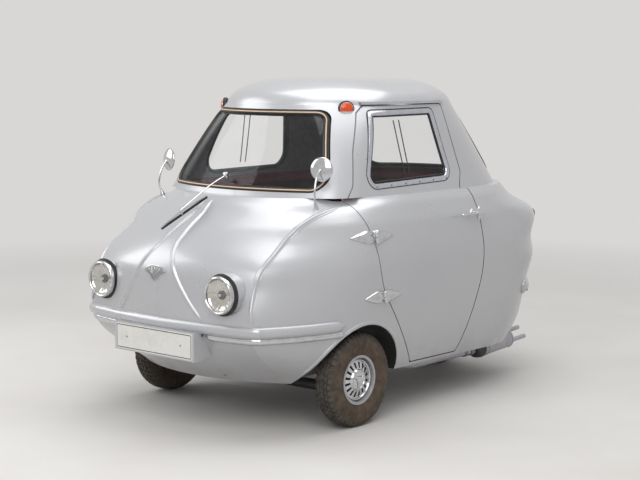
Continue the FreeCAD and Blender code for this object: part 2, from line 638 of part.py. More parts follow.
# Handlebar on its column.
COLUMN_LOW = Vector(0, AXLE_Y - 60, FLOOR_TOP + 6)
COLUMN_TOP = Vector(0, AXLE_Y + 150, 880)
column_axis = (COLUMN_TOP - COLUMN_LOW).normalize()
bearing = rod(COLUMN_LOW, COLUMN_LOW + column_axis * 60, 17).fuse(
    block(-30, 30, AXLE_Y - 90, AXLE_Y - 30, FLOOR_TOP, FLOOR_TOP + 30))
bearing = bearing.cut(rod(COLUMN_LOW - column_axis * 2, COLUMN_LOW + column_axis * 80, 11 + size("running_gap")))
node("column_bearing", bearing)
column = rod(COLUMN_LOW, COLUMN_TOP, 11)
bar = tube_route([COLUMN_TOP + Vector(-260, 60, 30), COLUMN_TOP + Vector(-150, 0, 20), COLUMN_TOP + Vector(-60, 0, 0),
                  COLUMN_TOP + Vector(60, 0, 0), COLUMN_TOP + Vector(150, 0, 20), COLUMN_TOP + Vector(260, 60, 30)],
                 11, 40)
node("handlebar", column.fuse(bar))

# Wheels: pressed rim with hub and drum, tyre, chromed cover.


def turned(points, centre, side):
    """A solid of revolution about the axle from (outward, radius) points."""
    outline = Part.makePolygon([Vector(a, r, 0) for a, r in points + points[:1]])
    solid = Part.Face(outline).revolve(Vector(0, 0, 0), Vector(1, 0, 0), 360)
    if side < 0:
        solid.rotate(Vector(0, 0, 0), Vector(0, 0, 1), 180)
    solid.translate(centre)
    return solid


def rim(centre, side, hub_low, hub_high):
    seat, half = size("rim_radius"), size("rim_width") / 2
    hub, bore = size("hub_radius"), size("stub_radius") + size("running_gap")
    return turned([
        (-half - 3, seat + 11), (-half, seat + 11), (-half, seat - 0.3), (-12, seat - 0.3), (-8, 84), (8, 84),
        (12, seat - 0.3), (half, seat - 0.3), (half, seat + 11), (half + 3, seat + 11), (half + 3, seat - 5),
        (16, seat - 5), (13, 80), (13, 50), (4, hub), (hub_high, hub), (hub_high, bore), (hub_low, bore),
        (hub_low, 60), (hub_low + 20, 60), (hub_low + 20, hub), (-2, hub), (8, 50), (8, 79), (-12, 79),
        (-17, seat - 5), (-half - 3, seat - 5)], centre, side)


def tyre(centre, side):
    half, outer, seat = size("tyre_width") / 2, size("tyre_radius"), size("rim_radius")
    bead = size("rim_width") / 2 - 0.3
    return turned([
        (-bead, seat), (bead, seat), (bead, seat + 12), (half - 4, seat + 30), (half, seat + 52), (half - 5, outer - 20),
        (half - 14, outer - 5), (half - 30, outer), (-half + 30, outer), (-half + 14, outer - 5), (-half + 5, outer - 20),
        (-half, seat + 52), (-half + 4, seat + 30), (-bead, seat + 12)], centre, side)


def hubcap(centre, side):
    edge = size("hubcap_radius")
    return turned([
        (15.25, edge), (21, edge), (29, edge - 8), (27, 62), (40, 42), (44, 22), (46, 0), (43, 0), (41, 21), (37, 40),
        (24, 60), (26, edge - 10), (19, edge - 3), (14.7, edge - 3)], centre, side)


for name, s, y in (("front_left", 1, AXLE_Y), ("front_right", -1, AXLE_Y)):
    centre = Vector(s * size("track") / 2, y, WHEEL_Z)
    node("rim_" + name, rim(centre, s, -56, 20))
    node("tyre_" + name, tyre(centre, s))
    node("hubcap_" + name, hubcap(centre, s))
rear_centre = Vector(0, REAR_Y, WHEEL_Z)
node("rim_rear", rim(rear_centre, 1, -44, 44))
node("tyre_rear", tyre(rear_centre, 1))

DOC.recompute()
problems = []
for item in DOC.Objects:
    if "Invalid" in item.State or "Error" in item.State:
        problems.append("%s is %s" % (item.Label, item.State))
for label, item in NODES.items():
    if item.Shape.isNull() or not item.Shape.isValid():
        problems.append("%s has a bad shape" % label)
    if not item.Shape.Solids:
        problems.append("%s has no solid" % label)
if problems:
    raise RuntimeError("; ".join(problems))

os.makedirs("parts", exist_ok=True)
total = 0
for label, item in NODES.items():
    item.Shape.exportStep(os.path.join("parts", label + ".step"))
    box = item.Shape.BoundBox
    total += item.Shape.Volume
    print("%-22s solids %d  volume %.5f m3  X %.0f..%.0f Y %.0f..%.0f Z %.0f..%.0f" % (
        label, len(item.Shape.Solids), item.Shape.Volume / 1e9, box.XMin, box.XMax, box.YMin, box.YMax,
        box.ZMin, box.ZMax))
print("all solids", total / 1e9, "m3")
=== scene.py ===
"""Looks of a three-wheeled bubble car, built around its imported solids.

Metres, nose towards -Y, the car's left side towards +X, ground at Z = 0.
"""
import json
import logging
import math
from dataclasses import dataclass, field
from enum import Enum
from typing import Callable, Iterable, Optional, Sequence

import bmesh
import bpy
from bpy.types import Material, NodeSocket, Object
from mathutils import Matrix, Vector
from mathutils.bvhtree import BVHTree


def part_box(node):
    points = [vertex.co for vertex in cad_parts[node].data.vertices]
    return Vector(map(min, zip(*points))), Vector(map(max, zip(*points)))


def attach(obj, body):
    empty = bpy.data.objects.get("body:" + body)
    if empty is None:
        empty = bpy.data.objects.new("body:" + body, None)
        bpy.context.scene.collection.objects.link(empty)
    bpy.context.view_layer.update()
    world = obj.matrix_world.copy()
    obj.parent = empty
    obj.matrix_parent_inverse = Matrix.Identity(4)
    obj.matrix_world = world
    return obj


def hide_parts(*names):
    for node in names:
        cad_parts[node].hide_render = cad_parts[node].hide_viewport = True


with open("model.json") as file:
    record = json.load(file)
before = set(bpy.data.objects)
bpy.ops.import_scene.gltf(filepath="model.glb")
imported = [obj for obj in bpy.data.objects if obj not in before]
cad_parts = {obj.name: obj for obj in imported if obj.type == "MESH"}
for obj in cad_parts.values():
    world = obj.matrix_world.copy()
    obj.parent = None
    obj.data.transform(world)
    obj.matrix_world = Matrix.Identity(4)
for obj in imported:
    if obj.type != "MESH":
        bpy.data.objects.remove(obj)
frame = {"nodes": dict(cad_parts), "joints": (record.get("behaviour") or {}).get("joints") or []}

Spot = tuple[float, float, float]
Pair = tuple[float, float]
Colour = tuple[float, ...]
Hit = Optional[tuple[Vector, Vector]]
Finder = Callable[[float, float], Hit]

LOG = logging.getLogger("bubble_car")
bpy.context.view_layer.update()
TURN = 2 * math.pi
UP = Vector((0, 0, 1))
LEFT = Vector((1, 0, 0))
FORWARD = Vector((0, -1, 0))


class Side(Enum):
    """Sides of the car as signs along X."""

    LEFT = 1
    RIGHT = -1


def centre_of(node: str) -> Vector:
    """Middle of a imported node's box."""
    low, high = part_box(node)
    return (low + high) / 2


FRONT_AXLE = centre_of("tyre_front_left").y


def back(distance: float) -> float:
    """Y of a point that lies some metres behind the front axle."""
    return FRONT_AXLE + distance


def tint(red: int, green: int, blue: int) -> tuple[float, float, float, float]:
    """Linear colour of a screen colour.

    Args:
        red: Screen red, 0 to 255.
        green: Screen green, 0 to 255.
        blue: Screen blue, 0 to 255.

    Returns:
        The colour with full alpha, as the shaders take it.
    """
    def linear(value: int) -> float:
        """One channel without the screen curve."""
        share = value / 255
        return share / 12.92 if share <= 0.04045 else ((share + 0.055) / 1.055) ** 2.4
    return linear(red), linear(green), linear(blue), 1.0


def finish_name(name: str) -> str:
    """The material's name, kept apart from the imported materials' names."""
    return "finish_" + name


class Recipe:
    """A node material in the making, around one Principled shader."""

    def __init__(self, name: str) -> None:
        """Makes the empty material."""
        self.material = bpy.data.materials.new(finish_name(name))
        self.material.use_nodes = True
        self.tree = self.material.node_tree
        self.shader = self.tree.nodes["Principled BSDF"]
        self.place = self.tree.nodes.new("ShaderNodeTexCoord").outputs["Object"]

    def node(self, kind: str, **inputs: object) -> bpy.types.Node:
        """Adds a node and fills its inputs.

        Args:
            kind: The node's type name without the ShaderNode prefix.
            **inputs: Values or sockets by input name, with _ for a space.

        Returns:
            The new node.
        """
        made = self.tree.nodes.new("ShaderNode" + kind)
        for key, value in inputs.items():
            socket = made.inputs[key.replace("_", " ")]
            self.feed(socket, value)
        return made

    def feed(self, socket: NodeSocket, value: object) -> None:
        """Links a socket or sets its number.

        Args:
            socket: The input.
            value: A number, a colour, or an output to link.
        """
        if isinstance(value, NodeSocket):
            self.tree.links.new(value, socket)
        else:
            socket.default_value = value

    def stretched(self, scale: Sequence[float]) -> NodeSocket:
        """The place on the object, scaled apart along the axes."""
        return self.node("Mapping", Vector=self.place, Scale=tuple(scale)).outputs["Vector"]

    def noise(self, scale: float, detail: float = 3.0, rough: float = 0.55,
              stretch: Optional[Sequence[float]] = None) -> NodeSocket:
        """A noise field's value.

        Args:
            scale: How fine the noise is, per metre.
            detail: Layers of finer noise.
            rough: Strength of the finer layers.
            stretch: Scale along each axis, for grain that runs one way.

        Returns:
            The value socket.
        """
        place = self.place if stretch is None else self.stretched(stretch)
        return self.node("TexNoise", Vector=place, Scale=scale, Detail=detail,
                         Roughness=rough).outputs["Fac"]

    def cells(self, scale: float) -> bpy.types.Node:
        """A Voronoi cell field."""
        return self.node("TexVoronoi", Vector=self.place, Scale=scale)

    def ramp(self, source: NodeSocket, low: float, high: float, start: float = 0.0,
             end: float = 1.0) -> NodeSocket:
        """A value mapped from one span to another and held at its ends.

        Args:
            source: The output to map.
            low: Value at the start.
            high: Value at the end.
            start: Result at low.
            end: Result at high.

        Returns:
            The mapped output.
        """
        made = self.node("MapRange", Value=source)
        for key, number in (("From Min", low), ("From Max", high), ("To Min", start),
                            ("To Max", end)):
            made.inputs[key].default_value = number
        return made.outputs["Result"]

    def times(self, first: object, second: object, kind: str = "MULTIPLY") -> NodeSocket:
        """Two values joined by a sum of that kind.

        Args:
            first: An output or number.
            second: An output or number.
            kind: Name of the sum.

        Returns:
            The output.
        """
        made = self.tree.nodes.new("ShaderNodeMath")
        made.operation = kind
        self.feed(made.inputs[0], first)
        self.feed(made.inputs[1], second)
        return made.outputs["Value"]

    def vector(self, kind: str, first: object, second: object = None) -> bpy.types.Node:
        """A vector sum of that kind.

        Args:
            kind: Name of the sum.
            first: An output or vector.
            second: An output or vector.

        Returns:
            The vector output.
        """
        made = self.tree.nodes.new("ShaderNodeVectorMath")
        made.operation = kind
        self.feed(made.inputs[0], first)
        if second is not None:
            self.feed(made.inputs[1], second)
        return made

    def patches(self, scale: float, detail: float, low: float, high: float, start: float = 0.0,
                end: float = 1.0, rough: float = 0.55) -> NodeSocket:
        """Soft patches: a noise field cut off below low and above high."""
        return self.ramp(self.noise(scale, detail, rough), low, high, start, end)

    def mixed(self, share: object, first: object, second: object) -> NodeSocket:
        """Two colours mixed by a share.

        Args:
            share: Share of the second colour.
            first: An output or colour.
            second: An output or colour.

        Returns:
            The mixed colour.
        """
        made = self.tree.nodes.new("ShaderNodeMix")
        made.data_type = "RGBA"
        self.feed(made.inputs["Factor"], share)
        self.feed(made.inputs[6], first)
        self.feed(made.inputs[7], second)
        return made.outputs[2]

    def height(self) -> NodeSocket:
        """The place's Z."""
        return self.node("SeparateXYZ", Vector=self.place).outputs["Z"]

    def bump(self, height: NodeSocket, strength: float, depth: float) -> None:
        """Adds a bump under the shader, on top of the one that is there.

        Args:
            height: Output that drives the bump.
            strength: Its strength.
            depth: Its depth in metres.
        """
        made = self.node("Bump", Height=height, Strength=strength, Distance=depth)
        socket = self.shader.inputs["Normal"]
        if socket.is_linked:
            self.tree.links.new(socket.links[0].from_socket, made.inputs["Normal"])
        self.tree.links.new(made.outputs["Normal"], socket)

    def finish(self, **inputs: object) -> Material:
        """Fills the shader's inputs and returns the material."""
        for key, value in inputs.items():
            self.feed(self.shader.inputs[key.replace("_", " ")], value)
        return self.material


class Finish:
    """One finish, made into a material the first time it is asked for."""

    name: str

    def recipe(self, make: Recipe) -> Material:
        """Builds the material from an empty recipe.

        Args:
            make: The empty recipe to fill.

        Returns:
            The material.
        """
        raise NotImplementedError

    def material(self) -> Material:
        """The material, built once."""
        found = bpy.data.materials.get(finish_name(self.name))
        return found or self.recipe(Recipe(self.name))


@dataclass(frozen=True)
class MetallicPaint(Finish):
    """Sprayed metallic lacquer with faint flakes, a clear coat and road dust low down."""

    name: str = "metallic_paint"
    colour: Colour = tint(184, 185, 188)
    shade: Colour = tint(172, 173, 178)
    dust: Colour = tint(146, 140, 132)
    metallic: float = 0.4
    roughness: float = 0.3

    def lacquer(self, make: Recipe) -> tuple[NodeSocket, NodeSocket]:
        """The paint's colour and roughness over the panel.

        Args:
            make: The recipe to add to.

        Returns:
            The colour and the roughness.
        """
        cloud = make.patches(1.6, 3.0, 0.35, 0.65)
        flake = make.patches(260.0, 2.0, 0.35, 0.65, 0.0, 0.16)
        paint = make.mixed(make.times(cloud, 0.4), self.colour, self.shade)
        paint = make.mixed(flake, paint, self.shade)
        low = make.ramp(make.height(), 0.4, 0.2)
        patch = make.patches(9.0, 6.0, 0.42, 0.72, rough=0.65)
        paint = make.mixed(make.times(make.times(low, patch), 0.45), paint, self.dust)
        rough = make.patches(5.0, 4.0, 0.3, 0.7, self.roughness - 0.03, self.roughness + 0.05)
        return paint, rough

    def recipe(self, make: Recipe) -> Material:
        """Builds the material."""
        paint, rough = self.lacquer(make)
        return make.finish(Base_Color=paint, Metallic=self.metallic, Roughness=rough,
                           Coat_Weight=0.55, Coat_Roughness=0.14)


@dataclass(frozen=True)
class LinedPanel(MetallicPaint):
    """A panel that is painted outside and lined on the faces that look into the car.

    A face is an inner one where it looks towards a middle point inside the shell. Inner faces below
    a set height are painted near-black: painted shade for the dark inside the wheel arches and the
    low shell.
    """

    name: str = "lined_panel"
    middle: Spot = (0.0, 0.0, 0.8)
    from_y: float = -3.0
    lining: Colour = tint(112, 108, 113)
    worn: Colour = tint(94, 91, 96)
    # near-black painted shade for the inner faces low down
    low_inner_shade: Colour = tint(26, 25, 25)
    trim: Colour = tint(104, 20, 32)
    trim_worn: Colour = tint(80, 14, 24)
    trim_below: float = 1.01
    shade_below: float = 0.5

    def recipe(self, make: Recipe) -> Material:
        """Builds the material."""
        paint, rough = self.lacquer(make)
        shifted = make.vector("SUBTRACT", make.place, self.middle).outputs["Vector"]
        facing = make.vector("DOT_PRODUCT", shifted, make.node("TexCoord").outputs["Normal"])
        inner = make.ramp(facing.outputs["Value"], -0.004, -0.02)
        behind = make.node("SeparateXYZ", Vector=make.place).outputs["Y"]
        inner = make.times(inner, make.ramp(behind, self.from_y, self.from_y + 0.01))
        cloth = make.mixed(make.patches(46.0, 5.0, 0.35, 0.7), self.lining, self.worn)
        trim = make.mixed(make.patches(30.0, 4.0, 0.35, 0.7), self.trim, self.trim_worn)
        cloth = make.mixed(make.ramp(make.height(), self.trim_below, self.trim_below - 0.004),
                           cloth, trim)
        # painted shade: inner faces below the set height turn near-black, for the dark inside the
        # arches and low shell
        cloth = make.mixed(make.ramp(make.height(), self.shade_below, self.shade_below - 0.03), cloth,
                           self.low_inner_shade)
        colour = make.mixed(inner, paint, cloth)
        rough = make.times(rough, make.times(inner, 0.35), "ADD")
        metallic = make.ramp(inner, 0.0, 1.0, self.metallic, 0.0)
        return make.finish(Base_Color=colour, Roughness=rough, Metallic=metallic, Coat_Weight=0.5,
                           Coat_Roughness=0.14)


@dataclass(frozen=True)
class PolishedMetal(Finish):
    """Chrome or polished aluminium with faint wiping marks."""

    name: str = "chrome"
    colour: Colour = tint(206, 207, 210)
    dull: Colour = tint(150, 147, 144)
    roughness: float = 0.06
    grain: float = 0.0

    def recipe(self, make: Recipe) -> Material:
        """Builds the material."""
        haze = make.patches(38.0, 5.0, 0.45, 0.75, rough=0.6)
        colour = make.mixed(make.times(haze, 0.35), self.colour, self.dull)
        rough = make.patches(22.0, 4.0, 0.35, 0.7, self.roughness, self.roughness + 0.08)
        if self.grain:
            make.bump(make.noise(260.0, 2.0, stretch=(1, 0.05, 1)), self.grain, 0.0004)
        make.bump(make.noise(160.0, 2.0), 0.02, 0.0004)
        return make.finish(Base_Color=colour, Metallic=1.0, Roughness=rough)


@dataclass(frozen=True)
class Rubber(Finish):
    """Black rubber with a bloom and fine pores."""

    name: str = "black_rubber"
    colour: Colour = tint(24, 24, 25)
    bloom: Colour = tint(58, 57, 56)
    roughness: float = 0.45

    def recipe(self, make: Recipe) -> Material:
        """Builds the material."""
        patch = make.patches(30.0, 5.0, 0.45, 0.8)
        colour = make.mixed(make.times(patch, 0.6), self.colour, self.bloom)
        make.bump(make.noise(700.0, 2.0), 0.12, 0.0004)
        rough = make.patches(14.0, 3.0, 0.3, 0.7, self.roughness - 0.08, self.roughness + 0.12)
        return make.finish(Base_Color=colour, Roughness=rough)


@dataclass(frozen=True)
class ClearGlass(Finish):
    """Window glass: clear when faced, mirror-like when seen along it."""

    name: str = "clear_glass"
    colour: Colour = tint(226, 234, 236)
    clearness: float = 0.02

    def recipe(self, make: Recipe) -> Material:
        """Builds the material."""
        edge = make.node("LayerWeight", Blend=0.5).outputs["Facing"]
        film = make.patches(7.0, 5.0, 0.45, 0.8, 0.0, 0.02, rough=0.7)
        alpha = make.times(make.ramp(edge, 0.65, 1.0, self.clearness, 0.55), film, "ADD")
        rough = make.patches(11.0, 4.0, 0.4, 0.7, 0.02, 0.06)
        return make.finish(Base_Color=self.colour, Metallic=0.85, Roughness=rough, Alpha=alpha)


@dataclass(frozen=True)
class LampLens(Finish):
    """Moulded lamp lens with a glossy face and depth of colour."""

    name: str = "amber_lens"
    colour: Colour = tint(236, 92, 14)
    deep: Colour = tint(186, 42, 8)
    clearness: float = 0.9

    def recipe(self, make: Recipe) -> Material:
        """Builds the material."""
        ribs = make.node("TexWave", Vector=make.place, Scale=110.0, Distortion=0.6).outputs["Fac"]
        colour = make.mixed(make.ramp(ribs, 0.2, 0.8), self.colour, self.deep)
        make.bump(ribs, 0.25, 0.001)
        make.bump(make.noise(90.0, 2.0), 0.05, 0.0005)
        rough = make.patches(40.0, 3.0, 0.3, 0.7, 0.08, 0.16)
        return make.finish(Base_Color=colour, Roughness=rough, Alpha=self.clearness,
                           Coat_Weight=0.6, Coat_Roughness=0.05)


@dataclass(frozen=True)
class Leathercloth(Finish):
    """Grained red leathercloth."""

    name: str = "red_leathercloth"
    colour: Colour = tint(122, 24, 38)
    worn: Colour = tint(88, 16, 27)
    roughness: float = 0.42

    def recipe(self, make: Recipe) -> Material:
        """Builds the material."""
        grain = make.cells(380.0).outputs["Distance"]
        patch = make.patches(8.0, 4.0, 0.35, 0.7)
        colour = make.mixed(patch, self.colour, self.worn)
        make.bump(grain, 0.35, 0.0007)
        make.bump(make.noise(14.0, 3.0), 0.15, 0.003)
        rough = make.ramp(grain, 0.0, 0.6, self.roughness + 0.1, self.roughness - 0.06)
        return make.finish(Base_Color=colour, Roughness=rough, Sheen_Weight=0.1)


@dataclass(frozen=True)
class SatinPaint(Finish):
    """Plain stove enamel or satin paint with grime."""

    name: str = "satin_black"
    colour: Colour = tint(30, 30, 32)
    grime: Colour = tint(74, 66, 58)
    roughness: float = 0.5
    metallic: float = 0.0
    grime_share: float = 0.5

    def recipe(self, make: Recipe) -> Material:
        """Builds the material."""
        patch = make.patches(16.0, 6.0, 0.45, 0.75, rough=0.65)
        colour = make.mixed(make.times(patch, self.grime_share), self.colour, self.grime)
        make.bump(make.noise(210.0, 3.0), 0.12, 0.0006)
        rough = make.patches(18.0, 4.0, 0.3, 0.7, self.roughness - 0.08, self.roughness + 0.14)
        return make.finish(Base_Color=colour, Roughness=rough, Metallic=self.metallic)


@dataclass(frozen=True)
class TyreRubber(Finish):
    """Old tyre: grey tread and brown, dusty side walls.

    The wall's dirt follows the radius, so it is told the wheel's middle.
    """

    name: str = "tyre_rubber"
    centre: Spot = (0.0, 0.0, 0.0)
    tread: Colour = tint(58, 54, 50)
    worn: Colour = tint(84, 77, 70)
    wall: Colour = tint(88, 74, 60)
    wall_dark: Colour = tint(50, 42, 34)
    wall_outer: float = 0.18
    wall_inner: float = 0.108

    def recipe(self, make: Recipe) -> Material:
        """Builds the material."""
        shifted = make.vector("SUBTRACT", make.place, self.centre)
        parts = make.node("SeparateXYZ", Vector=shifted.outputs["Vector"])
        flat = make.node("CombineXYZ", Y=parts.outputs["Y"], Z=parts.outputs["Z"])
        radius = make.vector("LENGTH", flat.outputs["Vector"]).outputs["Value"]
        blotch = make.patches(24.0, 6.0, 0.35, 0.68, rough=0.65)
        wall = make.mixed(blotch, self.wall, self.wall_dark)
        tread = make.mixed(make.patches(34.0, 5.0, 0.4, 0.7), self.tread, self.worn)
        share = make.ramp(radius, self.wall_outer + 0.012, self.wall_outer - 0.006)
        ring = make.ramp(radius, self.wall_inner + 0.008, self.wall_inner - 0.002)
        colour = make.mixed(share, tread, wall)
        colour = make.mixed(make.times(ring, 0.7), colour, self.wall_dark)
        make.bump(make.noise(240.0, 4.0), 0.25, 0.0008)
        rough = make.patches(30.0, 3.0, 0.3, 0.7, 0.72, 0.92)
        return make.finish(Base_Color=colour, Roughness=rough)


PAINT = MetallicPaint()
CABIN_PANEL = LinedPanel("cabin_panel", middle=(0.0, FRONT_AXLE + 0.45, 1.1))
DOOR_PANEL = LinedPanel("door_panel", middle=(0.0, FRONT_AXLE + 0.4, 0.8), shade_below=0.2)
BODY_PANEL = LinedPanel("body_panel", middle=(0.0, FRONT_AXLE + 0.15, 0.35),
                        from_y=FRONT_AXLE - 0.45)
CHROME = PolishedMetal()
ALUMINIUM = PolishedMetal("aluminium_trim", tint(198, 201, 210), tint(158, 160, 168), 0.22, 0.25)
BARE_STEEL = PolishedMetal("bare_steel", tint(150, 149, 150), tint(96, 88, 80), 0.35, 0.2)
BLACK_RUBBER = Rubber()
INLAY = Rubber("beige_inlay", tint(206, 180, 150), tint(170, 144, 116), 0.4)
GLASS = ClearGlass()
AMBER = LampLens()
CLEAR_LENS = LampLens("clear_lens", tint(226, 226, 222), tint(198, 198, 194), 0.07)
FROSTED_LENS = LampLens("frosted_lens", tint(222, 220, 214), tint(186, 182, 174), 0.85)
MIRROR_SILVER = PolishedMetal("mirror_silver", tint(206, 204, 198), tint(132, 129, 122), 0.1)
BURNT_STEEL = SatinPaint("burnt_steel", tint(78, 79, 84), tint(52, 48, 45), 0.42, 0.5, 0.6)
BADGE_FIELD = SatinPaint("badge_field", tint(148, 148, 150), tint(96, 92, 88), 0.36, 0.6, 0.7)
FLOOR_RUBBER = Rubber("floor_rubber", tint(36, 36, 38), tint(66, 62, 58), 0.6)
RED_LENS = LampLens("red_lens", tint(142, 14, 20), tint(84, 6, 10), 0.95)
LEATHERCLOTH = Leathercloth()
PIPING = Leathercloth("piping_leathercloth", tint(84, 14, 24), tint(64, 10, 18), 0.38)
BLACK_TRIM = SatinPaint("black_trim", tint(34, 34, 36), tint(52, 50, 48), 0.6, 0.0, 0.4)
BLACK_STEEL = SatinPaint()
SILVER_STEEL = SatinPaint("heatproof_silver", tint(176, 177, 184), tint(120, 112, 104), 0.38, 0.55,
                          0.35)
SILVER_RIM = SatinPaint("silver_rim", tint(168, 168, 172), tint(110, 92, 72), 0.42, 0.4, 0.6)
CAST_METAL = SatinPaint("cast_metal", tint(96, 96, 98), tint(60, 52, 44), 0.62, 0.5, 0.6)
PLATE_WHITE = SatinPaint("plate_white", tint(212, 211, 207), tint(178, 172, 162), 0.28, 0.0, 0.3)
PLATE_BLACK = SatinPaint("plate_border", tint(26, 26, 27), tint(60, 58, 56), 0.35, 0.0, 0.2)
# Near-black painted shade, for slot floors and open pipe ends where only shadow is seen.
HOLLOW_SHADE = SatinPaint("dark_hollow", tint(16, 15, 15), tint(34, 30, 27), 0.9, 0.0, 0.3)


def round_grid(rows: Sequence[list[int]]) -> list[int]:
    """Numbers of a grid's outermost points, in order round it."""
    down, up = [row[-1] for row in rows[1:]], [row[0] for row in rows[-2:0:-1]]
    return rows[0] + down + rows[-1][-2::-1] + up


def new_piece(name: str, vertices: Sequence[Vector], faces: Sequence[Sequence[int]], finish: Finish,
              smooth: float = 40.0) -> Object:
    """Makes a mesh piece with outward faces.

    Args:
        name: The piece's name.
        vertices: Its points, in metres.
        faces: Its faces as point numbers.
        finish: What covers it.
        smooth: Edges that bend less than this many degrees look smooth.

    Returns:
        The new object, linked to the scene.
    """
    mesh = bpy.data.meshes.new(name)
    mesh.from_pydata([tuple(v) for v in vertices], [], [tuple(f) for f in faces])
    mesh.validate()
    work = bmesh.new()
    work.from_mesh(mesh)
    bmesh.ops.remove_doubles(work, verts=work.verts, dist=1e-6)
    bmesh.ops.recalc_face_normals(work, faces=work.faces)
    work.to_mesh(mesh)
    work.free()
    mesh.materials.append(finish.material())
    mesh.polygons.foreach_set("use_smooth", [True] * len(mesh.polygons))
    mesh.set_sharp_from_angle(angle=math.radians(smooth))
    piece = bpy.data.objects.new(name, mesh)
    bpy.context.scene.collection.objects.link(piece)
    return piece


def band(first: Sequence[int], second: Sequence[int], closed: bool) -> list[tuple[int, ...]]:
    """Faces between two rows of points.

    Args:
        first: Point numbers of one row.
        second: Point numbers of the next row.
        closed: Whether the rows run round.

    Returns:
        The four-sided faces.
    """
    count = len(first)
    last = count if closed else count - 1
    return [(first[i], first[(i + 1) % count], second[(i + 1) % count], second[i])
            for i in range(last)]


def axes_of(direction: Vector) -> tuple[Vector, Vector]:
    """Two directions square to one.

    Args:
        direction: The direction to be square to.

    Returns:
        The two directions.
    """
    guide = UP if abs(direction.z) < 0.9 else LEFT
    first = direction.cross(guide).normalized()
    return first, direction.cross(first).normalized()


def lathe(name: str, profile: Sequence[Pair], origin: Vector, axis: Vector, finish: Finish,
          steps: int = 64, smooth: float = 35.0) -> Object:
    """Turns a profile about an axis.

    Args:
        name: The piece's name.
        profile: (radius, distance along the axis) points.
        origin: Where distance 0 lies.
        axis: The direction of the axis.
        finish: What covers it.
        steps: Points around.
        smooth: Edges that bend less than this many degrees look smooth.

    Returns:
        The new object.
    """
    axis = axis.normalized()
    first, second = axes_of(axis)
    vertices, rows = [], []
    for radius, along in profile:
        row = []
        for step in range(steps):
            angle = TURN * step / steps
            spoke = first * math.cos(angle) + second * math.sin(angle)
            row.append(len(vertices))
            vertices.append(origin + axis * along + spoke * radius)
        rows.append(row)
    faces = []
    for near, far in zip(rows, rows[1:]):
        faces += band(near, far, True)
    for row, (radius, _) in ((rows[0], profile[0]), (rows[-1], profile[-1])):
        if radius > 1e-5:
            faces.append(tuple(row))
    return new_piece(name, vertices, faces, finish, smooth)


def ring(name: str, profile: Sequence[Pair], origin: Vector, axis: Vector, finish: Finish,
         steps: int = 72, smooth: float = 35.0) -> Object:
    """Turns a closed profile about an axis, for a hollow ring.

    Args:
        name: Name of the piece.
        profile: (radius, along) pairs of the closed profile.
        origin: Where the profile starts.
        axis: The axis.
        finish: Its finish.
        steps: Steps round the axis.
        smooth: Angle in degrees above which an edge is sharp.

    Returns:
        The piece.
    """
    axis = axis.normalized()
    first, second = axes_of(axis)
    vertices, rows = [], []
    for step in range(steps):
        angle = TURN * step / steps
        spoke = first * math.cos(angle) + second * math.sin(angle)
        rows.append(list(range(len(vertices), len(vertices) + len(profile))))
        vertices += [origin + axis * along + spoke * radius for radius, along in profile]
    faces = []
    for near, far in zip(rows, rows[1:] + rows[:1]):
        faces += band(near, far, True)
    return new_piece(name, vertices, faces, finish, smooth)


def smooth_line(points: Sequence[Vector], steps: int = 8, closed: bool = False) -> list[Vector]:
    """A smooth line through points.

    Args:
        points: The points that it passes.
        steps: Points per span.
        closed: Whether it returns to its start.

    Returns:
        The line's points.
    """
    count = len(points)
    line = []
    spans = count if closed else count - 1
    for i in range(spans):
        if closed:
            a, b, c, d = (points[(i + k) % count] for k in (-1, 0, 1, 2))
        else:
            a, b, c, d = (points[min(max(i + k, 0), count - 1)] for k in (-1, 0, 1, 2))
        for step in range(steps):
            t = step / steps
            line.append(0.5 * ((2 * b) + (c - a) * t + (2 * a - 5 * b + 4 * c - d) * t * t
                               + (3 * b - a - 3 * c + d) * t ** 3))
    if not closed:
        line.append(points[-1])
    return line


def sweep(name: str, path: Sequence[Vector], section: Sequence[Pair], finish: Finish,
          normals: Optional[Sequence[Vector]] = None, closed: bool = False,
          swell: Optional[Callable[[float], float]] = None, smooth: float = 40.0) -> Object:
    """Runs a closed section along a path.

    Args:
        name: The piece's name.
        path: The points that it follows.
        section: (across, out) points; out follows the normals.
        finish: What covers it.
        normals: The outward direction at each path point, or None for a round bar.
        closed: Whether the path returns to its start.
        swell: Scale of the section by the share of the path, or None.
        smooth: Edges that bend less than this many degrees look smooth.

    Returns:
        The new object.
    """
    count = len(path)
    tangents = []
    for i, _ in enumerate(path):
        ahead = path[(i + 1) % count] if closed or i + 1 < count else path[i]
        behind = path[i - 1] if closed or i > 0 else path[i]
        tangents.append((ahead - behind).normalized())
    out = axes_of(tangents[0])[0]
    vertices, rows = [], []
    for i, point in enumerate(path):
        if normals is not None:
            out = normals[i]
        out = (out - tangents[i] * out.dot(tangents[i])).normalized()
        across = tangents[i].cross(out).normalized()
        scale = swell(i / max(count - 1, 1)) if swell else 1.0
        rows.append(list(range(len(vertices), len(vertices) + len(section))))
        vertices += [point + (across * u + out * v) * scale for u, v in section]
    faces = []
    for near, far in zip(rows, rows[1:] + (rows[:1] if closed else [])):
        faces += band(near, far, True)
    if not closed:
        faces += [tuple(rows[0]), tuple(reversed(rows[-1]))]
    return new_piece(name, vertices, faces, finish, smooth)


def round_section(radius: float, steps: int = 12) -> list[Pair]:
    """A circle as a sweep section."""
    return [(radius * math.cos(TURN * i / steps), radius * math.sin(TURN * i / steps))
            for i in range(steps)]


def half_round(half_width: float, rise: float, sink: float = 0.002, steps: int = 10) -> list[Pair]:
    """A half-round section standing on a surface.

    Args:
        half_width: Half its width.
        rise: Its height.
        sink: How far its foot reaches under the surface.
        steps: Steps over the arc.

    Returns:
        (across, up) pairs of the section.
    """
    arc = [(half_width * math.cos(math.pi * i / steps), rise * math.sin(math.pi * i / steps))
           for i in range(steps + 1)]
    return arc + [(-half_width, -sink), (half_width, -sink)]


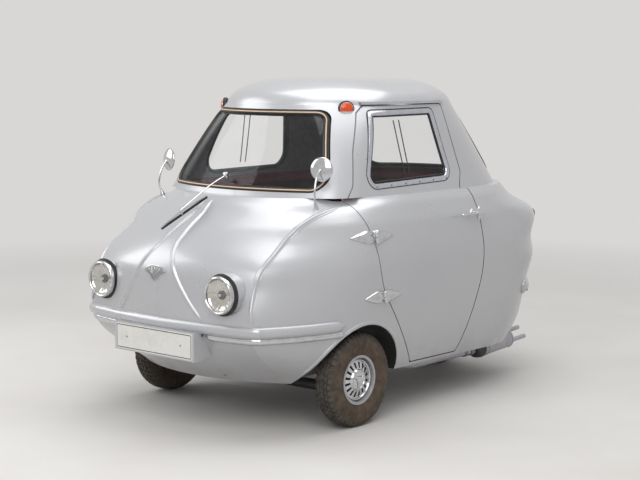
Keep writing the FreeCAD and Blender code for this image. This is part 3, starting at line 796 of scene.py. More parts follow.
def hump_section(half_width: float, rise: float, steps: int = 14) -> list[Pair]:
    """A low hump whose sides run out flat into the surface.

    Args:
        half_width: Half its width.
        rise: Its height.
        steps: Steps across.

    Returns:
        (across, up) pairs of the section.
    """
    top = []
    for i in range(steps + 1):
        u = 1 - 2 * i / steps
        top.append((half_width * u, rise * math.cos(u * math.pi / 2) ** 2 - 0.0004))
    return top + [(-half_width, -0.003), (half_width, -0.003)]


def tapered_ends(share: float, least: float = 0.02) -> Callable[[float], float]:
    """A swell that grows from a point at each end over a share of the path.

    Args:
        share: Share of the path that each end takes.
        least: Size at the very end.

    Returns:
        A function from share of the path to size.
    """
    def swell(at: float) -> float:
        """Scale at one place on the path."""
        edge = min(at, 1 - at) / share
        return max(least, math.sin(min(edge, 1.0) * math.pi / 2))
    return swell


def rounded_loop(corners: Sequence[Spot], inset: float = 0.0,
                 step: float = 0.012) -> list[Pair]:
    """Points along an outline with rounded corners.

    Args:
        corners: (first, second, radius) of each corner, in metres.
        inset: How far inside the outline the points lie.
        step: Their spacing.

    Returns:
        The points, in order round the outline.
    """
    flat = [Vector((a, b)) for a, b, _ in corners]
    middle = sum(flat, Vector((0, 0))) / len(flat)
    points: list[Vector] = []
    for i, (_, _, radius) in enumerate(corners):
        here = flat[i]
        before = (flat[i - 1] - here).normalized()
        after = (flat[(i + 1) % len(flat)] - here).normalized()
        half = math.acos(max(-1.0, min(1.0, before.dot(after)))) / 2
        hub = here + (before + after).normalized() * (radius / math.sin(half))
        cut = radius / math.tan(half)
        start, end = here + before * cut, here + after * cut
        first = math.atan2(start.y - hub.y, start.x - hub.x)
        turn = (math.atan2(end.y - hub.y, end.x - hub.x) - first + math.pi) % TURN - math.pi
        bends = max(4, round(abs(turn) * radius / step))
        sign = 1 if (hub - middle).length < (here - middle).length else -1
        reach = radius - sign * inset
        arc = [hub + Vector((math.cos(first + turn * k / bends),
                             math.sin(first + turn * k / bends))) * reach for k in range(bends + 1)]
        if points:
            run = (arc[0] - points[-1]).length
            between = max(1, round(run / step))
            tail = points[-1]
            points += [tail.lerp(arc[0], k / between) for k in range(1, between)]
        points += arc
    run = (points[0] - points[-1]).length
    between = max(1, round(run / step))
    tail = points[-1]
    points += [tail.lerp(points[0], k / between) for k in range(1, between)]
    return [(p.x, p.y) for p in points]


class Skin:
    """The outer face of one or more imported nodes, for pieces that sit on it."""

    outside = 3.0

    def __init__(self, *nodes: str) -> None:
        """Reads the nodes' faces."""
        vertices: list[Vector] = []
        faces: list[tuple[int, ...]] = []
        for node in nodes:
            mesh = frame["nodes"][node].data
            base = len(vertices)
            vertices += [v.co.copy() for v in mesh.vertices]
            faces += [tuple(base + i for i in p.vertices) for p in mesh.polygons]
        self.tree = BVHTree.FromPolygons(vertices, faces)

    def hit(self, origin: Vector, way: Vector) -> Hit:
        """Where a ray first meets the skin, and the outward direction there.

        Args:
            origin: Start of the ray.
            way: Its direction.

        Returns:
            The point and the direction, or None.
        """
        point, normal, _, _ = self.tree.ray_cast(origin, way)
        if point is None:
            return None
        return point, normal if normal.dot(way) < 0 else -normal

    def from_front(self, x: float, z: float) -> Hit:
        """The skin ahead of a point, seen from the nose."""
        return self.hit(Vector((x, -self.outside, z)), -FORWARD)

    def from_side(self, side: Side, y: float, z: float) -> Hit:
        """The skin beside a point, seen from one side."""
        return self.hit(Vector((self.outside * side.value, y, z)), LEFT * -side.value)

    def from_back(self, x: float, z: float) -> Hit:
        """The skin behind a point, seen from the tail."""
        return self.hit(Vector((x, self.outside, z)), FORWARD)


def lifted(found: Iterable[Hit], lift: float) -> tuple[list[Vector], list[Vector]]:
    """Splits skin hits into points, moved out by lift, and evened outward directions.

    Args:
        found: Skin hits, some of them missing.
        lift: How far to move the points out.

    Returns:
        The points and their outward directions.
    """
    kept = [pair for pair in found if pair is not None]
    normals = [normal for _, normal in kept]
    for _ in range(3):
        normals = [(normals[max(i - 1, 0)] + n + normals[min(i + 1, len(normals) - 1)]).normalized()
                   for i, n in enumerate(normals)]
    return [point + normal * lift for (point, _), normal in zip(kept, normals)], normals


def raised_pad(name: str, find: Finder, outline: Sequence[Pair],
               rings: Sequence[Pair], finish: Finish, smooth: float = 35.0,
               hollow: bool = False) -> Object:
    """Builds a pad that follows a skin.

    Args:
        name: The piece's name.
        find: The skin's point and outward direction at two flat measures.
        outline: The pad's edge in those measures.
        rings: (scale, lift) of each ring from the foot to the middle.
        finish: What covers it.
        smooth: Edges that bend less than this many degrees look smooth.
        hollow: Whether it is a ring whose last row joins its first.

    Returns:
        The new object.
    """
    middle = (sum(a for a, _ in outline) / len(outline), sum(b for _, b in outline) / len(outline))
    core = find(*middle)
    vertices, rows = [], []
    for scale, lift in rings:
        row = []
        for a, b in outline:
            hit = find(middle[0] + (a - middle[0]) * scale,
                       middle[1] + (b - middle[1]) * scale) or core
            row.append(len(vertices))
            vertices.append(hit[0] + hit[1] * lift)
        rows.append(row)
    faces = []
    for near, far in zip(rows, rows[1:]):
        faces += band(near, far, True)
    if hollow:
        faces += band(rows[-1], rows[0], True)
        return new_piece(name, vertices, faces, finish, smooth)
    tip, count = len(vertices), len(outline)
    vertices.append(core[0] + core[1] * rings[-1][1])
    faces += [(rows[-1][i], rows[-1][(i + 1) % count], tip) for i in range(count)]
    faces.append(tuple(reversed(rows[0])))
    return new_piece(name, vertices, faces, finish, smooth)


@dataclass
class Assembly:
    """A sub-assembly of the car that rides on one body."""

    body: str = "car"

    def keep(self, piece: Object, slot: str, *nodes: str, body: Optional[str] = None) -> Object:
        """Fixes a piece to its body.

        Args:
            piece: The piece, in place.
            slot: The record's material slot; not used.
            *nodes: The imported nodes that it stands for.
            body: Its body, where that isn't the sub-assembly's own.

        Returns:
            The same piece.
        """
        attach(piece, body or self.body)
        if nodes:
            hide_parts(*nodes)
        LOG.info("%s: %s", type(self).__name__, piece.name)
        return piece

    @staticmethod
    def once(side: Side, node: str) -> tuple[str, ...]:
        """The node that both sides' pieces stand for, named for the left one only."""
        return (node,) if side is Side.LEFT else ()

    def turned(self, name: str, profile: Sequence[Pair], origin: Vector, axis: Vector,
               finish: Finish, slot: str, *nodes: str, steps: int = 64, smooth: float = 35.0,
               hollow: bool = False, body: Optional[str] = None) -> None:
        """Turns a profile into a piece and fixes it.

        Args:
            name: The piece's name.
            profile: (radius, distance along the axis) points.
            origin: Where distance 0 lies.
            axis: The direction of the axis.
            finish: What covers it.
            slot: The record's material slot.
            *nodes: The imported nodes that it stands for.
            steps: Points around.
            smooth: Edges that bend less than this many degrees look smooth.
            hollow: Whether the profile is closed, for a ring.
            body: Its body, where that isn't the sub-assembly's own.
        """
        make = ring if hollow else lathe
        self.keep(make(name, profile, origin, axis, finish, steps, smooth), slot, *nodes, body=body)

    def laid(self, name: str, found: Iterable[Hit], section: Sequence[Pair], finish: Finish,
             slot: str, *nodes: str, lift: float = 0.0, finer: int = 0, closed: bool = False,
             swell: Optional[Callable[[float], float]] = None) -> None:
        """Runs a section along skin hits as a piece and fixes it.

        Args:
            name: The piece's name.
            found: Skin hits in order.
            section: (across, out) points of the closed section.
            finish: What covers it.
            slot: The record's material slot.
            *nodes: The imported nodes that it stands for.
            lift: How far its foot stands off the skin.
            finer: Points per span of a smoothed line, or 0 to leave the hits as they are.
            closed: Whether the path returns to its start.
            swell: Scale of the section by the share of the path, or None.
        """
        points, normals = lifted(found, lift)
        if finer:
            points, normals = smooth_line(points, finer), smooth_line(normals, finer)
        self.keep(sweep(name, points, section, finish, normals=normals, closed=closed, swell=swell),
                  slot, *nodes)

    def dress(self, finish: Finish, *nodes: str) -> None:
        """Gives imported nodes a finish.

        Args:
            finish: The finish.
            nodes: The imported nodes.
        """
        for node in nodes:
            item = frame["nodes"][node]
            item.data.materials.clear()
            item.data.materials.append(finish.material())
            LOG.info("%s: dressed %s", type(self).__name__, node)

    def build(self) -> None:
        """Builds and dresses the pieces."""
        raise NotImplementedError


@dataclass
class Bodywork(Assembly):
    """Painted panels and what is pressed into them."""

    arch_rise: float = 0.004
    arch_half_width: float = 0.009
    arch_radius: float = 0.278
    arch_height: float = 0.18
    arch_least_x: float = 0.42
    arch_from: float = -22.0
    arch_to: float = 168.0
    ridge: tuple[Spot, ...] = (
        (0.02, -0.306, 0.978), (0.03, -0.421, 0.889), (0.04, -0.499, 0.847), (0.05, -0.563, 0.795),
        (0.08, -0.605, 0.738), (0.13, -0.621, 0.657), (0.19, -0.62, 0.57), (0.25, -0.609, 0.5))
    bonnet_from: float = 0.8
    bonnet_out: Spot = (0.0, -0.55, 0.83)
    nose_out: Spot = (0.0, -0.93, 0.36)
    wing_out: Spot = (0.6, -0.62, 0.5)
    stand_off: float = 0.12
    ridge_half: float = 0.015
    ridge_rise: float = 0.0075
    crease: tuple[Spot, ...] = (
        (0.485, -0.54, 0.495), (0.482, -0.548, 0.56), (0.478, -0.503, 0.69), (0.48, -0.413, 0.77),
        (0.475, -0.33, 0.83), (0.484, -0.295, 0.86), (0.495, -0.255, 0.888), (0.512, -0.17, 0.925),
        (0.528, -0.04, 0.953))
    crease_half: float = 0.014
    crease_rise: float = 0.0065
    fold_top: float = 0.64
    fold_half: float = 0.012
    fold_rise: float = 0.0045
    corner_x: float = 0.47
    roll_height: float = 0.466
    roll_end: float = -0.136
    strip_height: float = 0.43
    strip_first: float = 0.256
    rear_height: float = 0.475
    rear_start: float = 1.225
    rear_turn_x: float = 0.5
    rear_last: float = 0.262

    def arch_lip(self, side: Side) -> None:
        """Rolls the edge of one front wheel arch.

        Args:
            side: The car's side.
        """
        skin = Skin("body_lower")
        found = []
        for degrees in range(int(self.arch_from), int(self.arch_to) + 1, 3):
            angle = math.radians(degrees)
            reach = self.arch_radius
            y = FRONT_AXLE + reach * math.cos(angle)
            z = self.arch_height + reach * math.sin(angle)
            hit = skin.from_side(side, y, z)
            if hit and abs(hit[0].x) > self.arch_least_x:
                found.append(hit)
        self.laid(f"arch_lip_{side.name.lower()}", found,
                  half_round(self.arch_half_width, self.arch_rise), PAINT, "body_paint", finer=2,
                  swell=tapered_ends(0.05, 0.2))

    def ridges(self) -> None:
        """Presses the two long ridges, the centre fold and the wing creases into the nose."""
        skin = Skin("body_lower")
        for side in Side:
            sign, name = side.value, side.name.lower()
            found = []
            for x, y, z in smooth_line([Vector(p) for p in self.ridge], 3):
                way = Vector(self.bonnet_out if z > self.bonnet_from else self.nose_out)
                found.append(skin.hit(Vector((sign * x, back(y), z)) + way * self.stand_off, -way))
            self.laid(f"nose_ridge_{name}", found, hump_section(self.ridge_half, self.ridge_rise),
                      PAINT, "body_paint", finer=4, swell=tapered_ends(0.06, 0.05))
            found = []
            for x, y, z in smooth_line([Vector(p) for p in self.crease], 3):
                way = Vector((sign * self.wing_out[0], *self.wing_out[1:])).normalized()
                found.append(skin.hit(Vector((sign * x, back(y), z)) + way * self.stand_off, -way))
            self.laid(f"wing_crease_{name}", found,
                      hump_section(self.crease_half, self.crease_rise), PAINT, "body_paint",
                      finer=4, swell=tapered_ends(0.08, 0.05))
        found = [skin.from_front(0.0, self.fold_top - 0.012 * k) for k in range(13)]
        self.laid("nose_fold", found, hump_section(self.fold_half, self.fold_rise), PAINT,
                  "body_paint", finer=4, swell=tapered_ends(0.12, 0.05))

    def round_the_front(self, skin: Skin, side: Side, height: float, first_x: float,
                        last_y: float) -> list[Hit]:
        """Skin hits at one height from the nose round to the wheel arch.

        Args:
            skin: The body skin.
            side: The car's side.
            height: Height of the line.
            first_x: Where it starts from the middle.
            last_y: How far it reaches behind the front axle.

        Returns:
            The hits.
        """
        found, x = [], first_x
        while x < self.corner_x - 0.012:
            found.append(skin.from_front(side.value * x, height))
            x += 0.02
        y = found[-1][0].y - FRONT_AXLE + 0.024
        while y < last_y:
            found.append(skin.from_side(side, back(y), height))
            y += 0.02
        return found

    def round_the_tail(self, skin: Skin, side: Side) -> list[Hit]:
        """Skin hits at the rear moulding's height, from the flank round to the tail.

        Args:
            skin: The body skin.
            side: The car's side.

        Returns:
            The hits.
        """
        found, y = [], self.rear_start
        while (hit := skin.from_side(side, back(y),
                                     self.rear_height)) and abs(hit[0].x) >= self.rear_turn_x:
            found.append(hit)
            y += 0.018
        x = abs(found[-1][0].x) - 0.016
        while x > self.rear_last:
            found.append(skin.from_back(side.value * x, self.rear_height))
            x -= 0.02
        return found

    def mouldings(self) -> None:
        """Rolls the mouldings round the nose and the rear corners, and their bright strips; a thin
        black line under each rear bead is painted shade in the groove.
        """
        skin = Skin("body_lower")
        left = self.round_the_front(skin, Side.LEFT, self.roll_height, 0.0, self.roll_end)
        right = self.round_the_front(skin, Side.RIGHT, self.roll_height, 0.02, self.roll_end)
        self.laid("front_roll", right[::-1] + left, half_round(0.025, 0.0205, 0.003, 16), PAINT,
                  "body_paint", "bumper_mouldings", finer=4, swell=tapered_ends(0.035, 0.2))
        for side in Side:
            name = side.name.lower()
            found = self.round_the_front(skin, side, self.strip_height, self.strip_first,
                                         self.roll_end)
            self.laid(f"bright_strip_{name}", found, half_round(0.0165, 0.0145, 0.003, 16), CHROME,
                      "bright_chrome", *self.once(side, "bumper_strips"), finer=4,
                      swell=tapered_ends(0.035, 0.25))
            found = self.round_the_tail(skin, side)
            self.laid(f"rear_roll_{name}", found, half_round(0.036, 0.0205, 0.003, 18), PAINT,
                      "body_paint", finer=4, swell=tapered_ends(0.05, 0.35))
            inner = found[2:-2]
            thin = tapered_ends(0.05, 0.3)
            self.laid(f"rear_bead_{name}", inner, half_round(0.013, 0.0052, 0.003, 12), CHROME,
                      "bright_chrome", lift=0.0195, finer=4, swell=thin)
            # thin black line under the chrome bead: painted shade of the groove there
            self.laid(f"rear_groove_{name}", [(p - UP * 0.0185, n) for p, n in inner],
                      half_round(0.0022, 0.0022, 0.002, 6), BLACK_RUBBER, "black_rubber",
                      lift=0.017, finer=4, swell=thin)

    def build(self) -> None:
        """Dresses the panels and presses their forms."""
        self.dress(PAINT, "plate_holder")
        self.dress(BODY_PANEL, "body_lower")
        self.dress(CABIN_PANEL, "cabin_top")
        self.ridges()
        self.mouldings()
        for side in Side:
            self.arch_lip(side)


WINDSCREEN = ((-0.335, 1.356, 0.07), (-0.482, 1.008, 0.055), (0.482, 1.008, 0.055),
              (0.335, 1.356, 0.07))
REAR_SCREEN = ((-0.325, 1.352, 0.07), (-0.415, 1.02, 0.06), (0.415, 1.02, 0.06),
               (0.325, 1.352, 0.07))
SIDE_WINDOW = ((0.25, 1.35, 0.07), (0.14, 1.022, 0.08), (0.77, 1.03, 0.08), (0.7, 1.352, 0.07))


@dataclass
class Window(Assembly):
    """One fixed window: its glass, its rubber seal and the inlay in the rubber."""

    node: str = "windscreen"
    corners: tuple[Spot, ...] = ()
    seen_from: str = "front"
    seal_half_width: float = 0.0105
    inlay_half_width: float = 0.003
    lip_half_width: float = 0.014
    lip_depth: float = 0.015

    def path(self) -> list[Hit]:
        """Hits of the middle line of the seal's face."""
        skin = Skin(self.node + "_seal", self.node + "_glass")
        find: dict[str, Finder] = {"front": skin.from_front, "back": skin.from_back,
                                   "side": lambda y, z: skin.from_side(Side.RIGHT, back(y), z)}
        return [find[self.seen_from](*spot) for spot in rounded_loop(self.corners,
                                                                     self.seal_half_width)]

    def build(self) -> None:
        """Builds the glass, the rounded seal, its inner lip and the pale strip that locks it."""
        self.dress(GLASS, self.node + "_glass")
        found, half = self.path(), self.seal_half_width
        right = [(half, -0.016), (half, -0.0045), (half * 0.8, -0.0012), (half * 0.45, 0.0),
                 (half * 0.3, -0.0014)]
        section = right + [(-across, out) for across, out in reversed(right)]
        self.laid(self.node + "_rubber", found, section, BLACK_RUBBER, "black_rubber",
                  self.node + "_seal", closed=True)
        points, normals = lifted(found, -self.lip_depth)
        lip = sweep(self.node + "_inner_lip", points,
                    half_round(self.lip_half_width, 0.006, 0.006, 10), BLACK_RUBBER,
                    normals=[-n for n in normals], closed=True)
        self.keep(lip, "black_rubber")
        if self.seen_from != "side":
            self.laid(self.node + "_inlay", found,
                      half_round(self.inlay_half_width, 0.0014, 0.001, 6), INLAY, "black_rubber",
                      lift=-0.001, closed=True)


@dataclass
class PaneEdges(Assembly):
    """Black edges of the two overlapping sliding panes in a side window."""

    glass: str = "door_glass"
    side: Side = Side.LEFT
    lines: tuple[tuple[float, float, float, float], ...] = (
        (0.399, 1.345, 0.427, 1.034), (0.439, 1.345, 0.461, 1.034))
    half_width: float = 0.0028

    def build(self) -> None:
        """Draws the edges down the glass."""
        skin = Skin(self.glass)
        for number, (top_y, top_z, low_y, low_z) in enumerate(self.lines, start=1):
            found = [skin.from_side(self.side, back(top_y + (low_y - top_y) * step / 8),
                                    top_z + (low_z - top_z) * step / 8) for step in range(9)]
            self.laid(f"{self.glass}_edge_{number}", found,
                      half_round(self.half_width, 0.0022, 0.001, 6), BLACK_RUBBER, "black_rubber")


@dataclass
class Door(Assembly):
    """The side door's skin, aluminium window frame, glass, inner card and screws; its handle is
    built by DoorHandle.
    """

    body: str = "door"
    frame_corners: tuple[Spot, ...] = (
        (0.258, 1.352, 0.03), (0.124, 1.012, 0.055), (0.764, 1.025, 0.055), (0.692, 1.355, 0.03))
    frame_half_width: float = 0.0125
    screw_count: int = 6
    card_corners: tuple[Spot, ...] = (
        (0.085, 0.93, 0.04), (0.175, 0.62, 0.12), (0.395, 0.345, 0.06), (0.69, 0.385, 0.06),
        (0.785, 0.64, 0.12), (0.745, 0.93, 0.04))
    screw_from: Pair = (0.2, 1.0215)
    screw_to: Pair = (0.715, 1.0325)

    def round_window(self, node: str, inset: float) -> list[Hit]:
        """Hits on a node round the window, at one distance inside the frame's edge.

        Args:
            node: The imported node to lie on.
            inset: Distance inside the frame's edge.

        Returns:
            The hits.
        """
        skin = Skin(node)
        return [skin.from_side(Side.LEFT, back(y), z) for y,
                z in rounded_loop(self.frame_corners, inset)]

    def window_frame(self) -> None:
        """Replaces the plain frame by a rounded aluminium section between two rubber lines."""
        half = self.frame_half_width
        section = [(half, -0.02), (half, -0.003), (half * 0.75, -0.0006), (0.0, 0.0),
                   (-half * 0.6, -0.001), (-half * 0.85, -0.004), (-half, -0.008), (-half, -0.02)]
        self.laid("door_frame_section", self.round_window("door_window_frame", 0.012), section,
                  ALUMINIUM, "aluminium_trim", "door_window_frame", closed=True)
        self.laid("door_frame_bed", self.round_window("door_shell", -0.0018),
                  half_round(0.0026, 0.0016, 0.001, 6), BLACK_RUBBER, "black_rubber", closed=True)
        self.laid("door_glass_channel", self.round_window("door_glass", 0.0275),
                  half_round(0.004, 0.005, 0.001, 6), BLACK_RUBBER, "black_rubber", closed=True)

    def card(self) -> None:
        """Covers the door's inner face with a leathercloth card and a pull strap."""
        skin = Skin("door_shell")

        def inside(y: float, z: float) -> Hit:
            """The door's inner face beside a point."""
            return skin.hit(Vector((0.3, back(y), z)), LEFT)
        outline = rounded_loop(self.card_corners, 0.0, 0.02)
        rings = ((1.0, -0.001), (1.0, 0.003), (0.985, 0.006), (0.955, 0.0065), (0.945, 0.0045),
                 (0.93, 0.0065), (0.75, 0.008), (0.5, 0.008), (0.25, 0.008))
        self.keep(raised_pad("door_card", inside, outline, rings, LEATHERCLOTH), "red_trim")
        found = [inside(0.3 + 0.02 * k, 0.8 - 0.0006 * (k - 5) ** 2) for k in range(11)]
        strap = [(0.012, -0.0015), (0.012, 0.0015), (-0.012, 0.0015), (-0.012, -0.0015)]
        self.laid("door_pull", found, strap, BLACK_RUBBER, "black_trim", lift=0.016, finer=3)
        boss = [(0.0095, -0.002), (0.0095, 0.016), (0.008, 0.0185), (0.0, 0.0195)]
        for end, hit in (("front", found[0]), ("rear", found[-1])):
            self.turned(f"door_pull_{end}", boss, *hit, CHROME, "bright_chrome", steps=24)

    def screws(self) -> None:
        """Sets the small screws along the frame's lower run."""
        skin = Skin("door_window_frame")
        head = [(0.0038, -0.002), (0.0038, 0.0004), (0.0026, 0.0014), (0.0008, 0.0008),
                (0.0, 0.0008)]
        for number in range(self.screw_count):
            share = number / (self.screw_count - 1)
            y, z = (a + (b - a) * share for a, b in zip(self.screw_from, self.screw_to))
            hit = skin.from_side(Side.LEFT, back(y), z)
            if hit:
                self.turned(f"frame_screw_{number + 1}", head, *hit, BURNT_STEEL, "bare_steel",
                            steps=16)

    def build(self) -> None:
        """Builds the door's visible pieces."""
        self.dress(DOOR_PANEL, "door_shell")
        self.dress(GLASS, "door_glass")
        self.window_frame()
        self.card()
        self.screws()


@dataclass
class HingeLeaf:
    """Form of one leaf of a door hinge: an almond-shaped dome cut at the pin."""

    length: float = 0.123
    half_height: float = 0.0295
    rise: float = 0.0105
    rows: int = 22
    columns: int = 14

    def half(self, along: float) -> float:
        """Half height at a share of the length."""
        shoulder = min(0.8 + 0.62 * along, 1.0)
        point = max(1.0 - max(along - 0.26, 0.0) / 0.74, 0.0)
        return self.half_height * shoulder * point ** 0.82 + 0.0012


@dataclass
class DoorHinges(Assembly):
    """Two chromed hinges on the door's front edge, split at their pins."""

    leaf: HingeLeaf = field(default_factory=HingeLeaf)
    barrel_radius: float = 0.0094
    barrel_half: float = 0.026
    knuckle_gap: float = 0.0006
    leaf_reach: float = 0.017
    leaf_depth: float = 0.012

    def surface(self, skin: Skin, y: float, z: float) -> tuple[Vector, Vector]:
        """The door side's face near a point, read beside the shut line.

        Args:
            skin: The door side.
            y: Place along the car.
            z: Height.

        Returns:
            The middle hit.
        """
        hits = [skin.from_side(Side.LEFT, y + shift, z) for shift in (-0.016, -0.01, 0.01, 0.016)]
        good = [hit for hit in hits if hit and hit[0].x > 0.6]
        x = sum(hit[0].x for hit in good) / len(good)
        normal = sum((hit[1] for hit in good), Vector()).normalized()
        return Vector((x, y, z)), normal

    def half_leaf(self, name: str, centre: Vector, way: int, body: str, *nodes: str) -> None:
        """Builds one leaf from the pin to its pointed end.

        Args:
            name: The piece's name.
            centre: The pin's middle.
            way: 1 for the rear leaf and -1 for the front leaf.
            body: The body that carries it.
            *nodes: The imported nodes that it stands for.
        """
        skin = Skin("body_lower", "door_shell")
        form = self.leaf
        vertices, rows = [], []
        for i in range(form.rows + 1):
            share = i / form.rows
            along = share ** 0.9
            half = form.half(along)
            row = []
            for j in range(form.columns + 1):
                across = -1 + 2 * j / form.columns
                y = centre.y + way * (0.0005 + along * form.length)
                z = centre.z + across * half
                point, normal = self.surface(skin, y, z)
                crown = math.sqrt(max(1 - across * across, 0.0))
                lift = form.rise * crown * (1 - 0.75 * along ** 2) - 0.001 + 0.003 * crown
                row.append(len(vertices))
                vertices.append(point + normal * lift)
            rows.append(row)
        faces = []
        for near, far in zip(rows, rows[1:]):
            faces += band(near, far, False)
        under = [[len(vertices) + i * (form.columns + 1) + j for j in range(form.columns + 1)]
                 for i in range(form.rows + 1)]
        for row in rows:
            vertices += [vertices[k] - LEFT * self.leaf_depth for k in row]
        for near, far in zip(under, under[1:]):
            faces += band(near, far, False)
        edge, low = round_grid(rows), round_grid(under)
        faces += band(edge, low, True)
        self.keep(new_piece(name, vertices, faces, CHROME, 50.0), "bright_chrome", *nodes,
                  body=body)

    def build(self) -> None:
        """Builds both hinges."""
        low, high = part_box("door_hinges")
        joint = next(j for j in frame["joints"] if j["name"] == "door_hinge")
        foot, axis = Vector(joint["pos_m"]), Vector(joint["axis"]).normalized()
        axis = axis if axis.z > 0 else -axis
        rise = (high.z - low.z) - 2 * self.leaf_reach
        for name, distance in (("low", 0.0), ("top", rise / axis.z)):
            centre = foot + axis * distance
            nodes = (("body_hinges",), ("door_hinges",)) if name == "low" else ((), ())
            self.half_leaf(f"hinge_{name}_front", centre, -1, "car", *nodes[0])
            self.half_leaf(f"hinge_{name}_rear", centre, 1, "door", *nodes[1])
            radius, half, gap = self.barrel_radius, self.barrel_half, self.knuckle_gap
            for part, start, end, body in (("lower", -half, -gap, "car"),
                                           ("upper", gap, half, "door")):
                profile = [(0.0, start), (radius * 0.8, start), (radius, start + 0.0015),
                           (radius, end - 0.0015), (radius * 0.8, end), (0.0, end)]
                self.turned(f"hinge_{name}_barrel_{part}", profile, centre, axis, CHROME,
                            "bright_chrome", steps=32, body=body)


@dataclass
class Headlamps(Assembly):
    """Two round headlamps: deep rim, petalled reflector, bulb, fluted lens and a black rubber
    gasket, widened so that its dark ring stands for the shadow gap round the rim (painted shade).
    """

    place: Spot = (0.361, -0.6, 0.617)
    rim_radius: float = 0.08
    lens_radius: float = 0.0675
    lens_ahead: float = 0.012
    flutes: int = 20
    petals: int = 14
    petal_depth: float = 0.055
    rim: tuple[Pair, ...] = (
        (0.001, 0.0096), (0.0, 0.006), (0.0004, -0.004), (0.0, -0.01), (0.0012, -0.016),
        (0.0038, -0.0196), (0.0072, -0.0206), (0.01, -0.019), (0.0122, -0.015), (0.0128, -0.008),
        (0.0128, 0.0096))
    # black rubber gasket, made wide so that it also stands for the shadow gap round the rim: partly
    # painted shade
    gasket_and_shadow: tuple[Pair, ...] = (
        (0.003, 0.005), (-0.003, 0.0052), (-0.0082, 0.0084), (-0.0088, 0.011), (-0.008, 0.015),
        (0.003, 0.015))
    bulb: tuple[Pair, ...] = (
        (0.0, -0.0095), (0.0042, -0.0088), (0.0062, -0.006), (0.0062, -0.002), (0.0048, 0.002),
        (0.0066, 0.003), (0.0066, 0.0086))
    socket: tuple[Pair, ...] = (
        (0.019, 0.008), (0.018, 0.004), (0.015, 0.002), (0.007, 0.0012), (0.0, 0.0012))

    def lens(self, name: str, centre: Vector) -> None:
        """A shallow dome with upright flutes on its inner face.

        Args:
            name: Name of the piece.
            centre: Middle of its rim.
        """
        rows, columns = 16, 96
        vertices, grid = [Vector(centre) + FORWARD * 0.01], []
        for i in range(1, rows + 1):
            radius = self.lens_radius * i / rows
            row = []
            for j in range(columns):
                angle = TURN * j / columns
                x, z = radius * math.cos(angle), radius * math.sin(angle)
                flute = math.cos(x / self.lens_radius * math.pi * self.flutes / 2) * 0.0007
                bulge = 0.01 * (1 - (radius / self.lens_radius) ** 2)
                row.append(len(vertices))
                vertices.append(centre + Vector((x, -bulge - flute, z)))
            grid.append(row)
        faces = [(0, grid[0][(j + 1) % columns], grid[0][j]) for j in range(columns)]
        for near, far in zip(grid, grid[1:]):
            faces += band(near, far, True)
        back_row = [len(vertices) + j for j in range(columns)]
        vertices += [vertices[k] + Vector((0, 0.003, 0)) for k in grid[-1]]
        faces += band(grid[-1], back_row, True)
        faces.append(tuple(back_row))
        self.keep(new_piece(name, vertices, faces, CLEAR_LENS, 60.0), "lamp_glass",
                  "headlamp_lenses")

    def reflector(self, name: str, centre: Vector) -> None:
        """A deep bowl with petals pressed into it.

        Args:
            name: Name of the piece.
            centre: Middle of its rim.
        """
        profile = ((0.0675, -0.01), (0.066, -0.007), (0.063, -0.0035), (0.058, 0.0), (0.05, 0.003),
                   (0.04, 0.0055), (0.028, 0.0075), (0.014, 0.0086))
        columns = self.petals * 8
        vertices, rows = [], []
        for radius, depth in profile:
            rows.append(list(range(len(vertices), len(vertices) + columns)))
            for j in range(columns):
                angle = TURN * j / columns
                wave = (abs(math.sin(angle * self.petals / 2)) - 1) * self.petal_depth
                reach = radius * (1 + wave * min((self.lens_radius - radius) / 0.012, 1.0))
                vertices.append(centre + Vector((reach * math.cos(angle), depth,
                                                 reach * math.sin(angle))))
        faces = [tuple(rows[-1])]
        for near, far in zip(rows, rows[1:]):
            faces += band(near, far, True)
        self.keep(new_piece(name, vertices, faces, MIRROR_SILVER), "bright_chrome")

    def build(self) -> None:
        """Builds both lamps."""
        outer = self.rim_radius
        for side in Side:
            name = side.name.lower()
            centre = Vector((side.value * self.place[0], back(self.place[1]), self.place[2]))
            rim = [(outer - inset, along) for inset, along in self.rim]
            self.turned(f"headlamp_rim_{name}", rim, centre, -FORWARD, CHROME, "bright_chrome",
                        "headlamp_rims", steps=96, hollow=True)
            self.lens(f"headlamp_lens_{name}", centre + FORWARD * self.lens_ahead)
            self.reflector(f"headlamp_bowl_{name}", centre)
            self.turned(f"headlamp_bulb_{name}", self.bulb, centre, -FORWARD, FROSTED_LENS,
                        "lamp_glass", steps=32)
            self.turned(f"headlamp_socket_{name}", self.socket, centre, -FORWARD, BURNT_STEEL,
                        "bright_chrome", steps=48)
            # gasket ring: real rubber, widened into painted shade for the dark gap between rim and
            # pod
            gasket_and_shadow = [(outer - inset, along) for inset, along in self.gasket_and_shadow]
            self.turned(f"headlamp_gasket_{name}", gasket_and_shadow, centre, -FORWARD, BLACK_RUBBER,
                        "black_rubber", steps=96, hollow=True)


